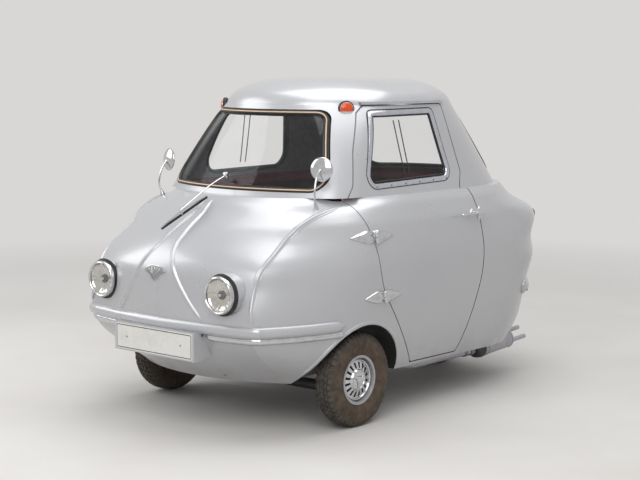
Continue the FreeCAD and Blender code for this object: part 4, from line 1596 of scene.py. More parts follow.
@dataclass
class Mirrors(Assembly):
    """Two round mirrors on bent stalks."""

    radius: float = 0.052
    stalk_radius: float = 0.0045
    stalk: tuple[Spot, ...] = (
        (0.47, -0.134, 0.94), (0.4735, -0.143, 0.968), (0.4778, -0.1515, 1.002),
        (0.4778, -0.149, 1.035), (0.4755, -0.138, 1.07), (0.4725, -0.118, 1.098))
    head: Spot = (0.47, -0.1, 1.112)

    def build(self) -> None:
        """Builds both mirrors."""
        for side in Side:
            sign, name = side.value, side.name.lower()
            centre = Vector((sign * self.head[0], back(self.head[1]), self.head[2]))
            axis = Vector((-0.28 * sign, 0.95, -0.08)).normalized()
            rim = self.radius
            shell = [(0.0, -0.0118), (0.012, -0.0113), (0.024, -0.0094), (0.036, -0.0064),
                     (0.045, -0.003), (rim - 0.0015, 0.0002), (rim, 0.003), (rim - 0.0008, 0.0065),
                     (rim - 0.004, 0.0079), (rim - 0.005, 0.0062), (0.0, 0.007)]
            self.turned(f"mirror_head_{name}", shell, centre, axis, CHROME, "bright_chrome",
                        "mirrors", steps=72)
            stalk = [Vector((sign * x, back(y), z)) for x, y,
                     z in self.stalk] + [centre - axis * 0.008]
            self.keep(sweep(f"mirror_stalk_{name}", smooth_line(stalk),
                            round_section(self.stalk_radius), CHROME), "bright_chrome")
            foot = [(0.0125, -0.012), (0.012, 0.01), (0.009, 0.02), (0.0065, 0.03), (0.005, 0.036),
                    (0.0, 0.037)]
            self.turned(f"mirror_foot_{name}", foot, stalk[0], Vector((0.008 * sign, -0.018, 0.07)),
                        CHROME, "bright_chrome", steps=32)


@dataclass
class Wiper(Assembly):
    """The wiper, folded forward over the bonnet."""

    def build(self) -> None:
        """Builds the boss, the arm, the blade's frame and its rubber."""
        boss = Vector((0.0, FRONT_AXLE - 0.196, 1.07))
        arm_end = Vector((0.0, FRONT_AXLE - 0.479, 0.932))
        blade_low, blade_top = Vector((-0.004, FRONT_AXLE - 0.585, 0.868)), Vector((0.004,
                                                                                    FRONT_AXLE
                                                                                    - 0.322, 0.986))
        way = (blade_top - blade_low).normalized()
        over = Vector((0, -0.4, 0.9)).normalized()
        cap = [(0.0, 0.014), (0.008, 0.013), (0.011, 0.009), (0.011, -0.012), (0.007, -0.016),
               (0.0, -0.016)]
        self.turned("wiper_boss", cap, boss, Vector((0, -0.75, 0.66)), CHROME, "bright_chrome",
                    "wiper", steps=32)
        path = smooth_line([boss, boss.lerp(arm_end, 0.35) + over * 0.008,
                            boss.lerp(arm_end, 0.75) + over * 0.004, arm_end])
        flat = [(0.0045, -0.0018), (0.0045, 0.001), (0.0025, 0.0026), (-0.0025, 0.0026),
                (-0.0045, 0.001), (-0.0045, -0.0018)]
        self.keep(sweep("wiper_arm", path, flat, CHROME, normals=[over] * len(path)),
                  "bright_chrome")
        spine = smooth_line([blade_low, blade_low.lerp(blade_top, 0.5) + over * 0.009, blade_top])
        bar = [(0.003, -0.002), (0.003, 0.0015), (-0.003, 0.0015), (-0.003, -0.002)]
        self.keep(sweep("wiper_blade_frame", spine, bar, CHROME, normals=[over] * len(spine)),
                  "bright_chrome")
        edge = [blade_low - over * 0.004, blade_top - over * 0.004]
        lip = [(0.0022, -0.007), (0.003, 0.003), (-0.003, 0.003), (-0.0022, -0.007)]
        self.keep(sweep("wiper_blade_rubber", edge, lip, BLACK_RUBBER, normals=[over, over]),
                  "black_rubber")
        clip = [(0.0, -0.007), (0.005, -0.007), (0.005, 0.007), (0.0, 0.007)]
        self.turned("wiper_clip", clip, blade_low + way * (arm_end - blade_low).dot(way), LEFT,
                    CHROME, "bright_chrome", steps=24)


@dataclass
class Badge(Assembly):
    """A plain fan-shaped shield with a raised edge and ribs on the nose."""

    right_edge: tuple[Pair, ...] = (
        (0.0, 0.711), (0.015, 0.7103), (0.03, 0.708), (0.044, 0.7035), (0.055, 0.6975),
        (0.0622, 0.6905), (0.0625, 0.6862), (0.059, 0.6838), (0.05, 0.6815), (0.038, 0.6765),
        (0.028, 0.669), (0.019, 0.66), (0.009, 0.652), (0.0, 0.647))
    ribs: tuple[float, ...] = (-0.036, -0.018, 0.0, 0.018, 0.036)

    def build(self) -> None:
        """Builds the fan-shaped shield on the nose's skin."""
        skin = Skin("body_lower")
        outline = list(self.right_edge) + [(-x, z) for x, z in self.right_edge[-2:0:-1]]
        edge = ((1.0, -0.002), (1.0, 0.0052), (0.985, 0.0066), (0.935, 0.0066), (0.915, 0.005),
                (0.5, 0.005))
        self.keep(raised_pad("badge_shield", skin.from_front, outline, edge, CHROME, 30.0),
                  "bright_chrome", "badge")
        field_rings = ((0.905, 0.0046), (0.905, 0.0054), (0.6, 0.0058), (0.3, 0.006))
        self.keep(raised_pad("badge_field", skin.from_front, outline, field_rings, BADGE_FIELD,
                             30.0), "bright_chrome")
        for number, x in enumerate(self.ribs):
            low_z = 0.66 + abs(x) * 0.52
            found = [skin.from_front(x * (0.45 + 0.55 * k / 6),
                                     low_z + (0.7045 - abs(x) * 0.11 - low_z) * k / 6)
                     for k in range(7)]
            self.laid(f"badge_rib_{number + 1}", found, half_round(0.0016, 0.0014, 0.001, 6),
                      CHROME, "bright_chrome", lift=0.0056, swell=tapered_ends(0.25, 0.3))


@dataclass
class NumberPlate(Assembly):
    """The blank plate at the nose: rounded corners, raised border and two screws."""

    corner: float = 0.011
    border_inset: float = 0.0065
    border_half: float = 0.0018

    def build(self) -> None:
        """Builds the plate."""
        low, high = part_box("number_plate")
        corners = ((low.x, low.z, self.corner), (high.x, low.z, self.corner),
                   (high.x, high.z, self.corner), (low.x, high.z, self.corner))
        loop = rounded_loop(corners, 0.0, 0.004)
        vertices = [Vector((x, y, z)) for y in (low.y + 0.0008, high.y) for x, z in loop]
        count = len(loop)
        near, far = list(range(count)), list(range(count, 2 * count))
        faces = band(near, far, True) + [tuple(near), tuple(reversed(far))]
        self.keep(new_piece("plate_blank", vertices, faces, PLATE_WHITE, 30.0), "plate_white",
                  "number_plate")
        line = [Vector((x, low.y + 0.0009, z)) for x,
                z in rounded_loop(corners, self.border_inset, 0.006)]
        section = half_round(self.border_half, 0.0009, 0.0006, 4)
        border = sweep("plate_border", line, section, PLATE_BLACK, normals=[FORWARD] * len(line),
                       closed=True)
        self.keep(border, "plate_white")
        head = [(0.0045, 0.0), (0.0042, 0.0009), (0.002, 0.0014), (0.0, 0.0014)]
        for side in Side:
            place = Vector((side.value * 0.165, low.y + 0.001, (low.z + high.z) / 2))
            self.turned(f"plate_screw_{side.name.lower()}", head, place, FORWARD, BARE_STEEL,
                        "bare_steel", steps=20)


class Corner(Enum):
    """Where each wheel sits: its node name, body and outward side."""

    FRONT_LEFT = ("front_left", "front_left_wheel", 1)
    FRONT_RIGHT = ("front_right", "front_right_wheel", -1)
    REAR = ("rear", "rear_wheel", 1)


@dataclass
class Wheel(Assembly):
    """One wheel: block-tread tyre, pressed rim and, in front, a slotted chromed cover."""

    corner: Corner = Corner.FRONT_LEFT
    pitches: int = 46
    slots: int = 16
    slot_depth: float = 0.0075
    slots_inner: Pair = (0.051, 0.0303)
    slots_outer: Pair = (0.077, 0.0222)
    back_face: float = 0.014
    spinner_hub: float = 0.0175
    spinner_out: float = 0.044
    spinner_foot: float = 0.0355
    ear_turn: float = 0.5
    ear_width: float = 0.3
    ear_reach: float = 0.0265
    ear_fall: float = 0.005

    def point(self, centre: Vector, out: float, radius: float, angle: float) -> Vector:
        """A point by its distance outwards, radius and angle."""
        sign = self.corner.value[2]
        return centre + Vector((sign * out, radius * math.cos(angle), radius * math.sin(angle)))

    def tyre_profile(self) -> list[tuple[float, float, float, float]]:
        """(across, radius, depth of the cross grooves, their shift) from bead to bead."""
        half = [(0.0, 0.2053, 0.0035, 0.0), (0.0095, 0.2053, 0.0035, 0.0),
                (0.01, 0.1998, 0.0, 0.25), (0.013, 0.1998, 0.0, 0.25),
                (0.0135, 0.2051, 0.0045, 0.5), (0.0265, 0.204, 0.0045, 0.5),
                (0.027, 0.1985, 0.0, 0.75), (0.03, 0.1983, 0.0, 0.75), (0.0305, 0.203, 0.006, 1.0),
                (0.036, 0.2008, 0.006, 1.0), (0.041, 0.1965, 0.0055, 1.0),
                (0.0445, 0.1905, 0.0045, 1.0), (0.0468, 0.185, 0.003, 1.0),
                (0.0478, 0.1815, 0.0004, 1.0), (0.0496, 0.174, 0.0, 1.0), (0.0512, 0.164, 0.0, 1.0),
                (0.0519, 0.156, 0.0, 1.0), (0.0517, 0.148, 0.0, 1.0), (0.0512, 0.144, 0.0, 1.0),
                (0.0519, 0.1425, 0.0, 1.0), (0.051, 0.1405, 0.0, 1.0), (0.0488, 0.13, 0.0, 1.0),
                (0.045, 0.12, 0.0, 1.0), (0.042, 0.115, 0.0, 1.0), (0.0428, 0.113, 0.0, 1.0),
                (0.0405, 0.1085, 0.0, 1.0), (0.037, 0.105, 0.0, 1.0), (0.036, 0.1018, 0.0, 1.0)]
        return [(-a, r, d, s) for a, r, d, s in reversed(half[1:])] + half

    def tyre(self, centre: Vector, name: str) -> None:
        """Builds the tyre with its blocks as real steps.

        Args:
            centre: Middle of the wheel.
            name: Name of its corner.
        """
        spots = ((0.0, 0), (0.05, 1), (0.27, 1), (0.32, 0), (0.66, 0))
        vertices, rows = [], []
        for pitch in range(self.pitches):
            for share, groove in spots:
                row = []
                for across, radius, depth, shift in self.tyre_profile():
                    angle = TURN * (pitch + share + shift * 0.5) / self.pitches
                    row.append(len(vertices))
                    vertices.append(self.point(centre, across, radius - groove * depth, angle))
                rows.append(row)
        faces = []
        for near, far in zip(rows, rows[1:] + rows[:1]):
            faces += band(near, far, True)
        finish = TyreRubber("tyre_rubber_" + name, tuple(centre))
        self.keep(new_piece("tyre_tread_" + name, vertices, faces, finish, 30.0), "tyre_rubber",
                  "tyre_" + name)

    def cover(self, centre: Vector, name: str) -> None:
        """Builds the cover: rolled edge, slotted cone and step round the middle; the slot floors
        are painted near-black as shade.

        A row of rows_at is a radius, how far out it stands, and whether slots cut it.

        Args:
            centre: Middle of the wheel.
            name: Name of its corner.
        """
        rows_at = ((0.092, 0.017, 0), (0.092, 0.0215, 0), (0.0905, 0.0262, 0), (0.087, 0.029, 0),
                   (0.0835, 0.0285, 0), (0.0812, 0.0262, 0), (0.08, 0.0225, 0), (0.077, 0.0222, 0),
                   (0.076, 0.0225, 1), (0.064, 0.0262, 1), (0.052, 0.03, 1), (0.051, 0.0303, 0),
                   (0.048, 0.0312, 0), (0.0455, 0.0345, 0), (0.043, 0.0372, 0), (0.04, 0.038, 0),
                   (0.037, 0.0372, 0), (0.0355, 0.0355, 0), (0.03, 0.036, 0), (0.02, 0.037, 0))
        spots = ((0.0, 0), (0.16, 0), (0.3, 0), (0.34, 1), (0.5, 1), (0.66, 1), (0.7, 0), (0.84, 0))
        vertices, rows = [], []
        for radius, out, slotted in rows_at:
            row = []
            for slot in range(self.slots):
                for share, low in spots:
                    angle = TURN * (slot + share) / self.slots
                    dip = self.slot_depth if slotted and low else 0.0
                    row.append(len(vertices))
                    vertices.append(self.point(centre, out - dip, radius, angle))
            rows.append(row)
        tip = len(vertices)
        vertices.append(self.point(centre, 0.0372, 0.0, 0.0))
        faces = []
        for near, far in zip(rows, rows[1:]):
            faces += band(near, far, True)
        count = len(rows[-1])
        faces += [(rows[-1][i], rows[-1][(i + 1) % count], tip) for i in range(count)]
        inner = [len(vertices) + i for i in range(count)]
        vertices += [self.point(centre, self.back_face, 0.0905, TURN * i / count)
                     for i in range(count)]
        faces += band(rows[0], inner, True)
        faces.append(tuple(inner))
        piece = new_piece("wheel_cover_" + name, vertices, faces, CHROME, 28.0)
        # second material: near-black painted shade for the slot floors
        piece.data.materials.append(HOLLOW_SHADE.material())
        sign = self.corner.value[2]
        (slots_start, hub_out), (slots_end, rim_out) = self.slots_inner, self.slots_outer
        for face in piece.data.polygons:
            offset = face.center - centre
            radius = math.hypot(offset.y, offset.z)
            cone = rim_out + (slots_end - radius) * (hub_out - rim_out) / (slots_end - slots_start)
            if not slots_start - 0.001 < radius < slots_end + 0.0005:
                continue
            if self.back_face + 0.0001 < sign * offset.x < cone - 0.0025:
                face.material_index = 1
        self.keep(piece, "bright_chrome", "hubcap_" + name)

    def spinner(self, centre: Vector, name: str) -> None:
        """Builds the three-eared spinner.

        Args:
            centre: Middle of the wheel.
            name: Name of its corner.
        """
        columns, rows_count, hub = 120, 12, self.spinner_hub
        vertices, rows = [], []
        for i in range(1, rows_count + 1):
            share = i / rows_count
            rows.append(list(range(len(vertices), len(vertices) + columns)))
            for j in range(columns):
                angle = TURN * j / columns
                ear = 0.0
                for k in range(3):
                    apart = (angle - TURN * k / 3 - self.ear_turn + math.pi) % TURN - math.pi
                    ear += math.exp(-(apart / self.ear_width) ** 2)
                radius = (hub + self.ear_reach * ear) * share
                out = self.spinner_out + (0.0035 - 0.0035 * (radius / hub) ** 2 if radius < hub
                                          else -0.06 * (radius - hub))
                out -= self.ear_fall * max(share - 0.72, 0.0) / 0.28
                vertices.append(self.point(centre, out, radius, angle))
        low = []
        for k in rows[-1]:
            low.append(len(vertices))
            spot = vertices[k].copy()
            spot.x = centre.x + self.corner.value[2] * self.spinner_foot
            vertices.append(spot)
        tip = len(vertices)
        vertices.append(self.point(centre, 0.0478, 0.0, 0.0))
        faces = [(rows[0][j], rows[0][(j + 1) % columns], tip) for j in range(columns)]
        for near, far in zip(rows, rows[1:]):
            faces += band(near, far, True)
        faces += band(rows[-1], low, True)
        faces.append(tuple(low))
        self.keep(new_piece("spinner_" + name, vertices, faces, CHROME, 45.0), "bright_chrome")

    def build(self) -> None:
        """Builds the wheel."""
        name, self.body, _ = self.corner.value
        centre = centre_of("tyre_" + name)
        self.tyre(centre, name)
        self.dress(SILVER_RIM, "rim_" + name)
        if self.corner is not Corner.REAR:
            self.cover(centre, name)
            self.spinner(centre, name)


@dataclass
class Indicators(Assembly):
    """Round indicators on the front pillars: black foot, amber lens, clear lower part."""

    place: Spot = (0.375, 0.177, 1.359)
    way: Spot = (0.83, -0.55, 0.0)
    clear_below: float = 0.011
    door_line: Spot = (0.148, 1.3, 1.268)

    def clear_of_door(self, piece: Object) -> None:
        """Trims the foot along the door's front edge.

        Args:
            piece: The lamp foot.
        """
        start, level, slope = self.door_line
        for vertex in piece.data.vertices:
            vertex.co.y = min(vertex.co.y, back(start + (vertex.co.z - level) * slope))

    def build(self) -> None:
        """Builds both indicators."""
        for side in Side:
            name = side.name.lower()
            centre = Vector((side.value * self.place[0], back(self.place[1]), self.place[2]))
            axis = Vector((side.value * self.way[0], self.way[1], self.way[2])).normalized()
            hit = Skin("cabin_top").hit(centre + axis * 0.3, -axis)
            centre = hit[0] if hit else centre
            foot = [(0.0, -0.01), (0.036, -0.01), (0.0368, 0.0035), (0.0352, 0.0066),
                    (0.0312, 0.007), (0.0306, 0.004), (0.0, 0.004)]
            piece = lathe(f"indicator_foot_{name}", foot, centre, axis, BLACK_RUBBER, 64)
            self.clear_of_door(piece)
            self.keep(piece, "black_rubber", *self.once(side, "indicator_lamps"))
            dome = [(0.0298, 0.003), (0.03, 0.0085), (0.0292, 0.0112), (0.0272, 0.0136),
                    (0.024, 0.0158), (0.019, 0.0178), (0.012, 0.0192), (0.006, 0.0198), (0.0, 0.02)]
            lens = lathe(f"indicator_lens_{name}", dome, centre, axis, AMBER, 72)
            lens.data.materials.append(FROSTED_LENS.material())
            for polygon in lens.data.polygons:
                polygon.material_index = int(polygon.center.z < centre.z - self.clear_below)
            self.keep(lens, "amber_lens")
            collar = [(0.0296, 0.0066), (0.0314, 0.0066), (0.0314, 0.0086), (0.0296, 0.0086)]
            self.turned(f"indicator_collar_{name}", collar, centre, axis, CHROME, "bright_chrome",
                        steps=72, hollow=True)


@dataclass
class TailLamps(Assembly):
    """Red lamps and reflectors at the rear corners, each in a bright bezel."""

    lamp: tuple[float, float, float, float] = (0.446, 0.504, 0.791, 0.83)
    reflector: tuple[float, float, float, float] = (0.484, 0.516, 0.72, 0.752)

    def build(self) -> None:
        """Builds the lamps on the tail's skin."""
        skin = Skin("body_lower")
        for side in Side:
            name = side.name.lower()
            for kind, frame_box, proud in (("tail_lamp", self.lamp, 0.019),
                                           ("reflector", self.reflector, 0.009)):
                x_low, x_high, z_low, z_high = frame_box
                radius = 0.45 * min(x_high - x_low, z_high - z_low)
                corners = [(side.value * x, z, radius) for x,
                           z in ((x_low, z_low), (x_high, z_low), (x_high, z_high),
                                 (x_low, z_high))]
                outline = rounded_loop(corners, 0.0, 0.004)
                lens = ((0.97, -0.004), (0.97, proud * 0.55), (0.92, proud * 0.8),
                        (0.8, proud * 0.94), (0.5, proud), (0.25, proud))
                nodes = self.once(side, "tail_lamps") if kind == "tail_lamp" else ()
                self.keep(raised_pad(f"{kind}_lens_{name}", skin.from_back, outline, lens,
                                     RED_LENS), "red_lens", *nodes)
                bezel = ((0.98, -0.004), (1.14, -0.004), (1.16, 0.003), (1.1, 0.0062),
                         (1.02, 0.0062), (0.98, 0.003))
                self.keep(raised_pad(f"{kind}_bezel_{name}", skin.from_back, outline, bezel, CHROME,
                                     hollow=True), "bright_chrome")


@dataclass
class DoorHandle(Assembly):
    """The chromed door handle on its oval seat."""

    body: str = "door"

    def build(self) -> None:
        """Builds the handle."""
        skin = Skin("door_shell")
        y, z, top = back(0.77), 0.876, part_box("door_handle")[1].x - 0.0065
        surface, _ = skin.from_side(Side.LEFT, y, z)
        seat = [(0.019, -0.002), (0.019, 0.001), (0.0165, 0.0042), (0.011, 0.0058), (0.0085, 0.008),
                (0.0078, 0.012), (0.0078, top - surface.x), (0.0, top - surface.x)]
        self.turned("handle_seat", seat, surface, LEFT, CHROME, "bright_chrome", "door_handle",
                    steps=40)
        path = smooth_line([Vector((top, back(0.828), z - 0.003)), Vector((top, y, z)),
                            Vector((top, back(0.705), z + 0.0005)),
                            Vector((top, back(0.641), z - 0.0015))])
        section = [(0.0066 * math.cos(TURN * i / 14), 0.006 * math.sin(TURN * i / 14))
                   for i in range(14)]
        self.keep(sweep("handle_bar", path, section, CHROME, normals=[LEFT] * len(path),
                        swell=tapered_ends(0.07, 0.35)), "bright_chrome")
        upright = [(0.0, -0.031), (0.005, -0.0295), (0.0074, -0.026), (0.0078, -0.012),
                   (0.007, 0.0), (0.0078, 0.014), (0.0074, 0.029), (0.005, 0.0325), (0.0, 0.034)]
        self.turned("handle_upright", upright, Vector((top, y, z)), UP, CHROME, "bright_chrome",
                    steps=32)


@dataclass
class Exhaust(Assembly):
    """Pipe, clamps, silencer with its dark front cap, and two tail pipes with near-black discs of
    painted shade in their open ends.
    """

    pipe_run: tuple[Spot, ...] = ((0.398, 0.9, 0.15), (0.381, 1.16, 0.143))
    silencer: tuple[Spot, ...] = ((0.38, 1.2, 0.148), (0.385, 1.446, 0.166))
    clamps_at: Pair = (0.66, 0.86)
    tails: tuple[tuple[Spot, ...], ...] = (
        ((0.3989, 1.441, 0.1516), (0.4017, 1.5806, 0.1619)),
        ((0.3589, 1.441, 0.1916), (0.3617, 1.5806, 0.2019)))

    def build(self) -> None:
        """Dresses the exhaust and adds its clamps, cap, and near-black discs of painted shade in
        the open ends.
        """
        self.dress(SILVER_STEEL, "exhaust")
        start, end = (Vector((x, back(y), z)) for x, y, z in self.pipe_run)
        clamp = [(0.017, -0.01), (0.0222, -0.0095), (0.023, -0.004), (0.0215, 0.0), (0.023, 0.004),
                 (0.0222, 0.0095), (0.017, 0.01)]
        bolt = [(0.0, -0.011), (0.0042, -0.011), (0.0042, 0.011), (0.0, 0.011)]
        for number, share in enumerate(self.clamps_at, start=1):
            spot = start.lerp(end, share)
            self.turned(f"exhaust_clamp_{number}", clamp, spot, end - start, BARE_STEEL,
                        "bare_steel", steps=40)
            self.turned(f"exhaust_bolt_{number}", bolt, spot + UP * 0.024, LEFT, BARE_STEEL,
                        "bare_steel", steps=6, smooth=20.0)
        nose, tail = (Vector((x, back(y), z)) for x, y, z in self.silencer)
        way = tail - nose
        cap = [(0.0235, -0.044), (0.033, -0.0415), (0.0405, -0.034), (0.0445, -0.024),
               (0.0462, -0.011), (0.0465, 0.0), (0.0485, 0.001), (0.0488, 0.005), (0.048, 0.009),
               (0.045, 0.01)]
        self.turned("silencer_cap", cap, nose, way, BURNT_STEEL, "black_steel")
        seam = [(0.0445, -0.004), (0.0468, -0.003), (0.0472, 0.0), (0.0468, 0.003), (0.0445, 0.004)]
        for number, along in enumerate((0.04, way.length - 0.008), start=1):
            self.turned(f"silencer_seam_{number}", seam, nose + way.normalized() * along, way,
                        SILVER_STEEL, "silver_steel", hollow=True)
        # near-black disc in each open pipe end: painted shade for the dark inside the pipe
        mouth_shade = [(0.0085, -0.002), (0.0088, 0.0004), (0.0, 0.0004)]
        for number, run in enumerate(self.tails, start=1):
            first, last = (Vector((x, back(y), z)) for x, y, z in run)
            self.turned(f"tail_pipe_mouth_{number}", mouth_shade, last, last - first, HOLLOW_SHADE,
                        "black_steel", steps=32)


@dataclass
class Chassis(Assembly):
    """Everything under the floor."""

    def build(self) -> None:
        """Dresses the frame, the fork and the knuckles."""
        self.dress(BLACK_STEEL, "chassis", "rear_fork", "column_bearing")
        self.dress(BARE_STEEL, "knuckle_left", "knuckle_right")


@dataclass
class Cushion:
    """Sizes of one padded seat part."""

    name: str
    node: str
    stands: bool = False
    channels: int = 6
    crown: float = 0.016
    corner: float = 0.03
    shrink: float = 0.007
    cuts: int = 22


@dataclass
class Cabin(Assembly):
    """Padded seats, trim, dashboard, floor mat and handlebar."""

    cushions: tuple[Cushion, ...] = (
        Cushion("driver_seat_pad", "driver_cushion", channels=6),
        Cushion("rear_seat_pad", "passenger_cushion", channels=8),
        Cushion("rear_seat_back", "passenger_back", stands=True, channels=8))
    voxel: float = 0.006
    pressure: float = 4.0
    most_move: float = 0.01
    groove: float = 0.0065
    groove_width: float = 0.006
    piping_corner: float = 0.045
    piping_inset: float = 0.006
    piping_radius: float = 0.0042
    column_top: Spot = (0.0, 0.15, 0.88)
    mat_corners: tuple[Spot, ...] = (
        (-0.36, -0.2, 0.05), (0.36, -0.2, 0.05), (0.4, 0.235, 0.04), (-0.4, 0.235, 0.04))

    def blank(self, form: Cushion) -> tuple[Object, Vector, Vector]:
        """A rounded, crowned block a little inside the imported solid.

        Args:
            form: The cushion's sizes.

        Returns:
            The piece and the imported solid's lowest and highest corners.
        """
        low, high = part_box(form.node)
        work = bmesh.new()
        bmesh.ops.create_cube(work, size=2.0)
        bmesh.ops.subdivide_edges(work, edges=work.edges[:], cuts=form.cuts, use_grid_fill=True)
        half = (high - low) / 2 - Vector((form.shrink,) * 3)
        middle = (high + low) / 2
        inner = half - Vector((form.corner,) * 3)
        out = 1 if form.stands else 2
        for vertex in work.verts:
            spot = Vector(vertex.co[i] * half[i] for i in range(3))
            core = Vector(max(-inner[i], min(inner[i], spot[i])) for i in range(3))
            if (spot - core).length > 1e-6:
                spot = core + (spot - core).normalized() * form.corner
            others = [i for i in range(3) if i != out]
            fall = math.prod(1 - (spot[other] / half[other]) ** 2 for other in others)
            face = -1 if form.stands else 1
            if spot[out] * face > 0:
                spot[out] += face * form.crown * (fall - 1) * 0.55
            vertex.co = middle + spot
        mesh = bpy.data.meshes.new(form.name)
        work.to_mesh(mesh)
        work.free()
        piece = bpy.data.objects.new(form.name, mesh)
        bpy.context.scene.collection.objects.link(piece)
        return piece, low, high

    def settled(self, piece: Object) -> None:
        """Puts a piece's modifiers into its mesh.

        Args:
            piece: The piece.
        """
        depsgraph = bpy.context.evaluated_depsgraph_get()
        mesh = bpy.data.meshes.new_from_object(piece.evaluated_get(depsgraph))
        piece.modifiers.clear()
        old, piece.data = piece.data, mesh
        bpy.data.meshes.remove(old)

    def inflate(self, piece: Object) -> None:
        """Blows the piece up as sewn cloth and keeps the result.

        Args:
            piece: The closed cover.
        """
        remesh = piece.modifiers.new("remesh", "REMESH")
        remesh.mode, remesh.voxel_size = "VOXEL", self.voxel
        self.settled(piece)
        start = [vertex.co.copy() for vertex in piece.data.vertices]
        cloth = piece.modifiers.new("cloth", "CLOTH")
        cloth.settings.use_pressure = True
        cloth.settings.uniform_pressure_force = self.pressure
        cloth.settings.effector_weights.gravity = 0.0
        cloth.settings.quality = 5
        scene = bpy.context.scene
        for number in range(1, 21):
            scene.frame_set(number)
        self.settled(piece)
        scene.frame_set(1)
        for vertex, was in zip(piece.data.vertices, start):
            move = vertex.co - was
            if move.length > self.most_move:
                vertex.co = was + move.normalized() * self.most_move

    def sewn(self, piece: Object, form: Cushion, low: Vector, high: Vector) -> None:
        """Presses the sewn channels into the seat's face and keeps it in its room.

        Args:
            piece: The pad.
            form: Its measures.
            low: The node's lower corner.
            high: The node's upper corner.
        """
        face = Vector((0, -1, 0)) if form.stands else UP
        pitch = (high.x - low.x) / form.channels
        normals = [vertex.normal.copy() for vertex in piece.data.vertices]
        for vertex, normal in zip(piece.data.vertices, normals):
            share = (vertex.co.x - low.x) / pitch
            apart = abs(share - round(share)) * pitch
            toward = max(normal.dot(face), 0.0)
            if 0.3 < share < form.channels - 0.3:
                fall = math.exp(-(apart / self.groove_width) ** 2)
                vertex.co -= face * self.groove * toward * fall
            for i in range(3):
                vertex.co[i] = max(low[i] - 0.002, min(high[i] + 0.004, vertex.co[i]))

    def piping(self, form: Cushion, low: Vector, high: Vector) -> None:
        """Lays the piping round the seat's front edge.

        Args:
            form: Measures of the pad.
            low: The node's lower corner.
            high: The node's upper corner.
        """
        near, far = (low.z, high.z) if form.stands else (low.y, high.y)
        flat = [(a, b, self.piping_corner) for a,
                b in ((low.x, near), (high.x, near), (high.x, far), (low.x, far))]
        loop = rounded_loop(flat, self.piping_inset, 0.014)
        if form.stands:
            line, out = [Vector((a, low.y + 0.022, b)) for a, b in loop], FORWARD
        else:
            line, out = [Vector((a, b, high.z - 0.024)) for a, b in loop], UP
        cord = sweep(form.name + "_piping", line, round_section(self.piping_radius, 10), PIPING,
                     normals=[out] * len(line), closed=True)
        self.keep(cord, "red_trim")

    def seats(self) -> None:
        """Builds the padded seats."""
        for form in self.cushions:
            piece, low, high = self.blank(form)
            self.inflate(piece)
            smooth = piece.modifiers.new("smooth", "SUBSURF")
            smooth.levels = 1
            self.settled(piece)
            self.sewn(piece, form, low, high)
            mesh = piece.data
            mesh.materials.clear()
            mesh.materials.append(LEATHERCLOTH.material())
            mesh.polygons.foreach_set("use_smooth", [True] * len(mesh.polygons))
            mesh.update()
            self.keep(piece, "red_trim", form.node)
            self.piping(form, low, high)

    def mat(self) -> None:
        """Lays the rubber mat with raised ribs on the floor."""
        skin = Skin("body_lower")

        def floor(x: float, y: float) -> Hit:
            """The floor's upper face."""
            return skin.hit(Vector((x, back(y), 0.42)), Vector((0, 0, -1)))
        outline = rounded_loop(self.mat_corners, 0.0, 0.02)
        rings = ((1.0, -0.001), (1.0, 0.004), (0.975, 0.0055), (0.94, 0.0055), (0.93, 0.0035),
                 (0.5, 0.0035))
        self.keep(raised_pad("floor_mat", floor, outline, rings, FLOOR_RUBBER), "black_rubber")
        for number in range(13):
            x = -0.3 + 0.05 * number
            found = [floor(x, -0.15 + 0.04 * k) for k in range(9)]
            self.laid(f"mat_rib_{number + 1}", found, half_round(0.004, 0.003, 0.001, 6),
                      FLOOR_RUBBER, "black_rubber", lift=0.003, swell=tapered_ends(0.08, 0.2))

    def grips(self) -> None:
        """Fits the ribbed grips and the bar's clamp."""
        top = Vector((self.column_top[0], back(self.column_top[1]), self.column_top[2]))
        for side in Side:
            inner = top + Vector((side.value * 0.15, 0.0, 0.02))
            outer = top + Vector((side.value * 0.26, 0.06, 0.03))
            along = (outer - inner).normalized()
            base = inner + along * 0.03
            length = (outer - base).length + 0.004
            profile = [(0.0, 0.0), (0.0145, 0.0), (0.0165, 0.003), (0.0165, 0.008)]
            for rib in range(9):
                at = 0.01 + (length - 0.02) * rib / 8
                profile += [(0.014, at), (0.0158, at + 0.003), (0.0158, at + 0.006)]
            profile += [(0.015, length - 0.004), (0.011, length), (0.0, length + 0.001)]
            self.turned(f"bar_grip_{side.name.lower()}", profile, base, along, BLACK_RUBBER,
                        "black_rubber", steps=32, body="steering_bar")
        way = Vector((0.0, 0.21, 0.648)).normalized()
        clamp = [(0.0, -0.02), (0.018, -0.02), (0.0205, -0.016), (0.0205, 0.012), (0.0175, 0.017),
                 (0.0, 0.019)]
        self.turned("bar_clamp", clamp, top, way, BLACK_RUBBER, "black_trim", steps=40,
                    body="steering_bar")
        gaiter = [(0.0, 0.0)]
        for fold in range(7):
            gaiter += [(0.034 - 0.0025 * fold, 0.004 + 0.01 * fold),
                       (0.027 - 0.002 * fold, 0.009 + 0.01 * fold)]
        gaiter.append((0.0125, 0.076))
        foot = Vector((0.0, back(-0.06), 0.232)) + way * 0.062
        self.turned("column_gaiter", gaiter, foot, way, BLACK_RUBBER, "black_rubber", steps=48,
                    body="steering_bar")

    def build(self) -> None:
        """Builds the cabin."""
        self.dress(BLACK_TRIM, "dashboard", "seat_base", "passenger_base")
        self.dress(LEATHERCLOTH, "side_trim")
        self.dress(CAST_METAL, "engine")
        self.dress(CHROME, "handlebar")
        self.seats()
        self.mat()
        self.grips()


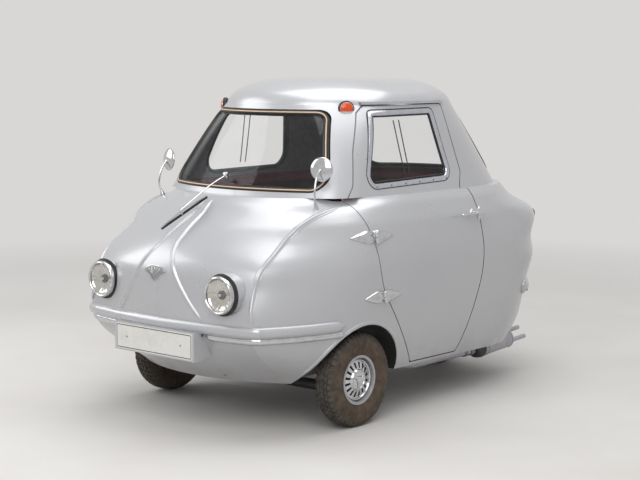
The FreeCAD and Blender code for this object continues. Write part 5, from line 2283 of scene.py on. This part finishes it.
@dataclass(frozen=True)
class SoftLamp:
    """One square area lamp that looks at the car."""

    name: str
    place: Spot
    width: float
    power: float

    def hang(self, target: Spot) -> None:
        """Puts the lamp into the scene, turned to the target.

        Args:
            target: The point to look at.
        """
        light = bpy.data.lights.new(self.name, "AREA")
        light.size, light.energy = self.width, self.power
        item = bpy.data.objects.new(self.name, light)
        item.location = self.place
        item.rotation_euler = (Vector(target) - Vector(self.place)).to_track_quat("-Z",
                                                                                  "Y").to_euler()
        bpy.context.scene.collection.objects.link(item)


@dataclass
class Studio:
    """Pale floor, soft light and the camera at the photograph's angle."""

    camera_place: Spot = (4.757, FRONT_AXLE - 5.04, 1.582)
    camera_turn: float = 40.99
    camera_down: float = 6.73
    camera_roll: float = 0.186
    lens: float = 86.8
    floor_half: float = 30.0
    floor_colour: Colour = tint(206, 204, 201)
    floor_stain: Colour = tint(196, 193, 189)
    backdrop: Colour = tint(216, 215, 213)
    fade_from: float = 2.4
    fade_to: float = 6.5
    sky: Colour = tint(238, 238, 240)
    sky_strength: float = 0.6
    lit_point: Spot = (0.0, 0.0, 0.7)
    lamps: tuple[SoftLamp, ...] = (
        SoftLamp("key", (3.4, -4.8, 4.6), 4.5, 240.0),
        SoftLamp("fill", (-4.5, -3.0, 3.6), 4.0, 110.0),
        SoftLamp("top", (0.4, 0.6, 5.2), 4.5, 150.0))

    def seen(self, tree: bpy.types.NodeTree) -> NodeSocket:
        """1 for camera, glossy and transmission rays, and 0 for the light that falls on things.

        Args:
            tree: The node tree to add to.

        Returns:
            The output.
        """
        path = tree.nodes.new("ShaderNodeLightPath")
        total = path.outputs["Is Camera Ray"]
        for name in ("Is Glossy Ray", "Is Transmission Ray"):
            more = tree.nodes.new("ShaderNodeMath")
            more.operation = "MAXIMUM"
            tree.links.new(total, more.inputs[0])
            tree.links.new(path.outputs[name], more.inputs[1])
            total = more.outputs["Value"]
        return total

    def floor(self) -> None:
        """Lays the pale floor, which fades into the backdrop far from the car."""
        half = self.floor_half
        make = Recipe("studio_floor")
        patch = make.patches(0.7, 5.0, 0.35, 0.7)
        colour = make.mixed(patch, self.floor_colour, self.floor_stain)
        make.finish(Base_Color=colour, Roughness=0.7)
        far = make.vector("LENGTH", make.place)
        fade = make.times(make.ramp(far.outputs["Value"], self.fade_from, self.fade_to),
                          self.seen(make.tree))
        glow = make.node("Emission", Color=self.backdrop, Strength=1.0)
        blend = make.tree.nodes.new("ShaderNodeMixShader")
        make.feed(blend.inputs[0], fade)
        make.feed(blend.inputs[1], make.shader.outputs["BSDF"])
        make.feed(blend.inputs[2], glow.outputs["Emission"])
        make.feed(make.tree.nodes["Material Output"].inputs["Surface"], blend.outputs["Shader"])
        mesh = bpy.data.meshes.new("studio_floor")
        mesh.from_pydata([(-half, -half, 0), (half, -half, 0), (half, half, 0), (-half, half, 0)],
                         [], [(0, 1, 2, 3)])
        mesh.materials.append(make.material)
        item = bpy.data.objects.new("studio_floor", mesh)
        bpy.context.scene.collection.objects.link(item)

    def world(self) -> None:
        """Fills the room with pale light in front of a pale backdrop."""
        world = bpy.data.worlds.new("studio")
        world.use_nodes = True
        tree = world.node_tree
        light = tree.nodes["Background"]
        light.inputs["Color"].default_value = self.sky
        light.inputs["Strength"].default_value = self.sky_strength
        wall = tree.nodes.new("ShaderNodeBackground")
        wall.inputs["Color"].default_value = self.backdrop
        blend = tree.nodes.new("ShaderNodeMixShader")
        tree.links.new(self.seen(tree), blend.inputs[0])
        tree.links.new(light.outputs["Background"], blend.inputs[1])
        tree.links.new(wall.outputs["Background"], blend.inputs[2])
        tree.links.new(blend.outputs["Shader"], tree.nodes["World Output"].inputs["Surface"])
        bpy.context.scene.world = world

    def camera(self) -> None:
        """Sets the camera."""
        data = bpy.data.cameras.new("camera")
        data.lens, data.sensor_width = self.lens, 36.0
        data.clip_end = 200.0
        item = bpy.data.objects.new("camera", data)
        item.location = self.camera_place
        turn, down = math.radians(self.camera_turn), math.radians(self.camera_down)
        way = Vector((-math.sin(turn) * math.cos(down), math.cos(turn) * math.cos(down),
                      -math.sin(down)))
        spin = way.to_track_quat("-Z",
                                 "Y").to_matrix() @ Matrix.Rotation(math.radians(self.camera_roll),
                                                                    3, "Z")
        item.rotation_euler = spin.to_euler()
        bpy.context.scene.collection.objects.link(item)
        bpy.context.scene.camera = item

    def build(self) -> None:
        """Builds the studio."""
        self.floor()
        self.world()
        for lamp in self.lamps:
            lamp.hang(self.lit_point)
        self.camera()
        bpy.context.scene.view_settings.view_transform = "Standard"
        LOG.info("Studio: floor, lamps and camera")


@dataclass
class DripRail(Assembly):
    """The aluminium rail that keeps rain off the door."""

    def build(self) -> None:
        """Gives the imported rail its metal."""
        self.dress(ALUMINIUM, "drip_rail")


def main() -> None:
    """Builds the sub-assemblies in order."""
    logging.basicConfig(level=logging.INFO, format="%(message)s")
    parts: list[Assembly] = [
        Bodywork(),
        Window(node="windscreen", corners=WINDSCREEN, seen_from="front"),
        Window(node="rear_screen", corners=REAR_SCREEN, seen_from="back"),
        Window(node="side_window", corners=SIDE_WINDOW, seen_from="side"),
        Door(),
        DoorHandle(),
        DoorHinges(),
        PaneEdges(body="door"),
        PaneEdges(glass="side_window_glass", side=Side.RIGHT),
        Headlamps(),
        Indicators(),
        TailLamps(),
        Mirrors(),
        Wiper(),
        Badge(),
        NumberPlate(),
        Exhaust(),
        Chassis(),
        Cabin(),
    ]
    parts += [Wheel(corner=corner) for corner in Corner] + [DripRail()]
    for part in parts:
        part.build()
    Studio().build()


if __name__ == "__main__":
    main()
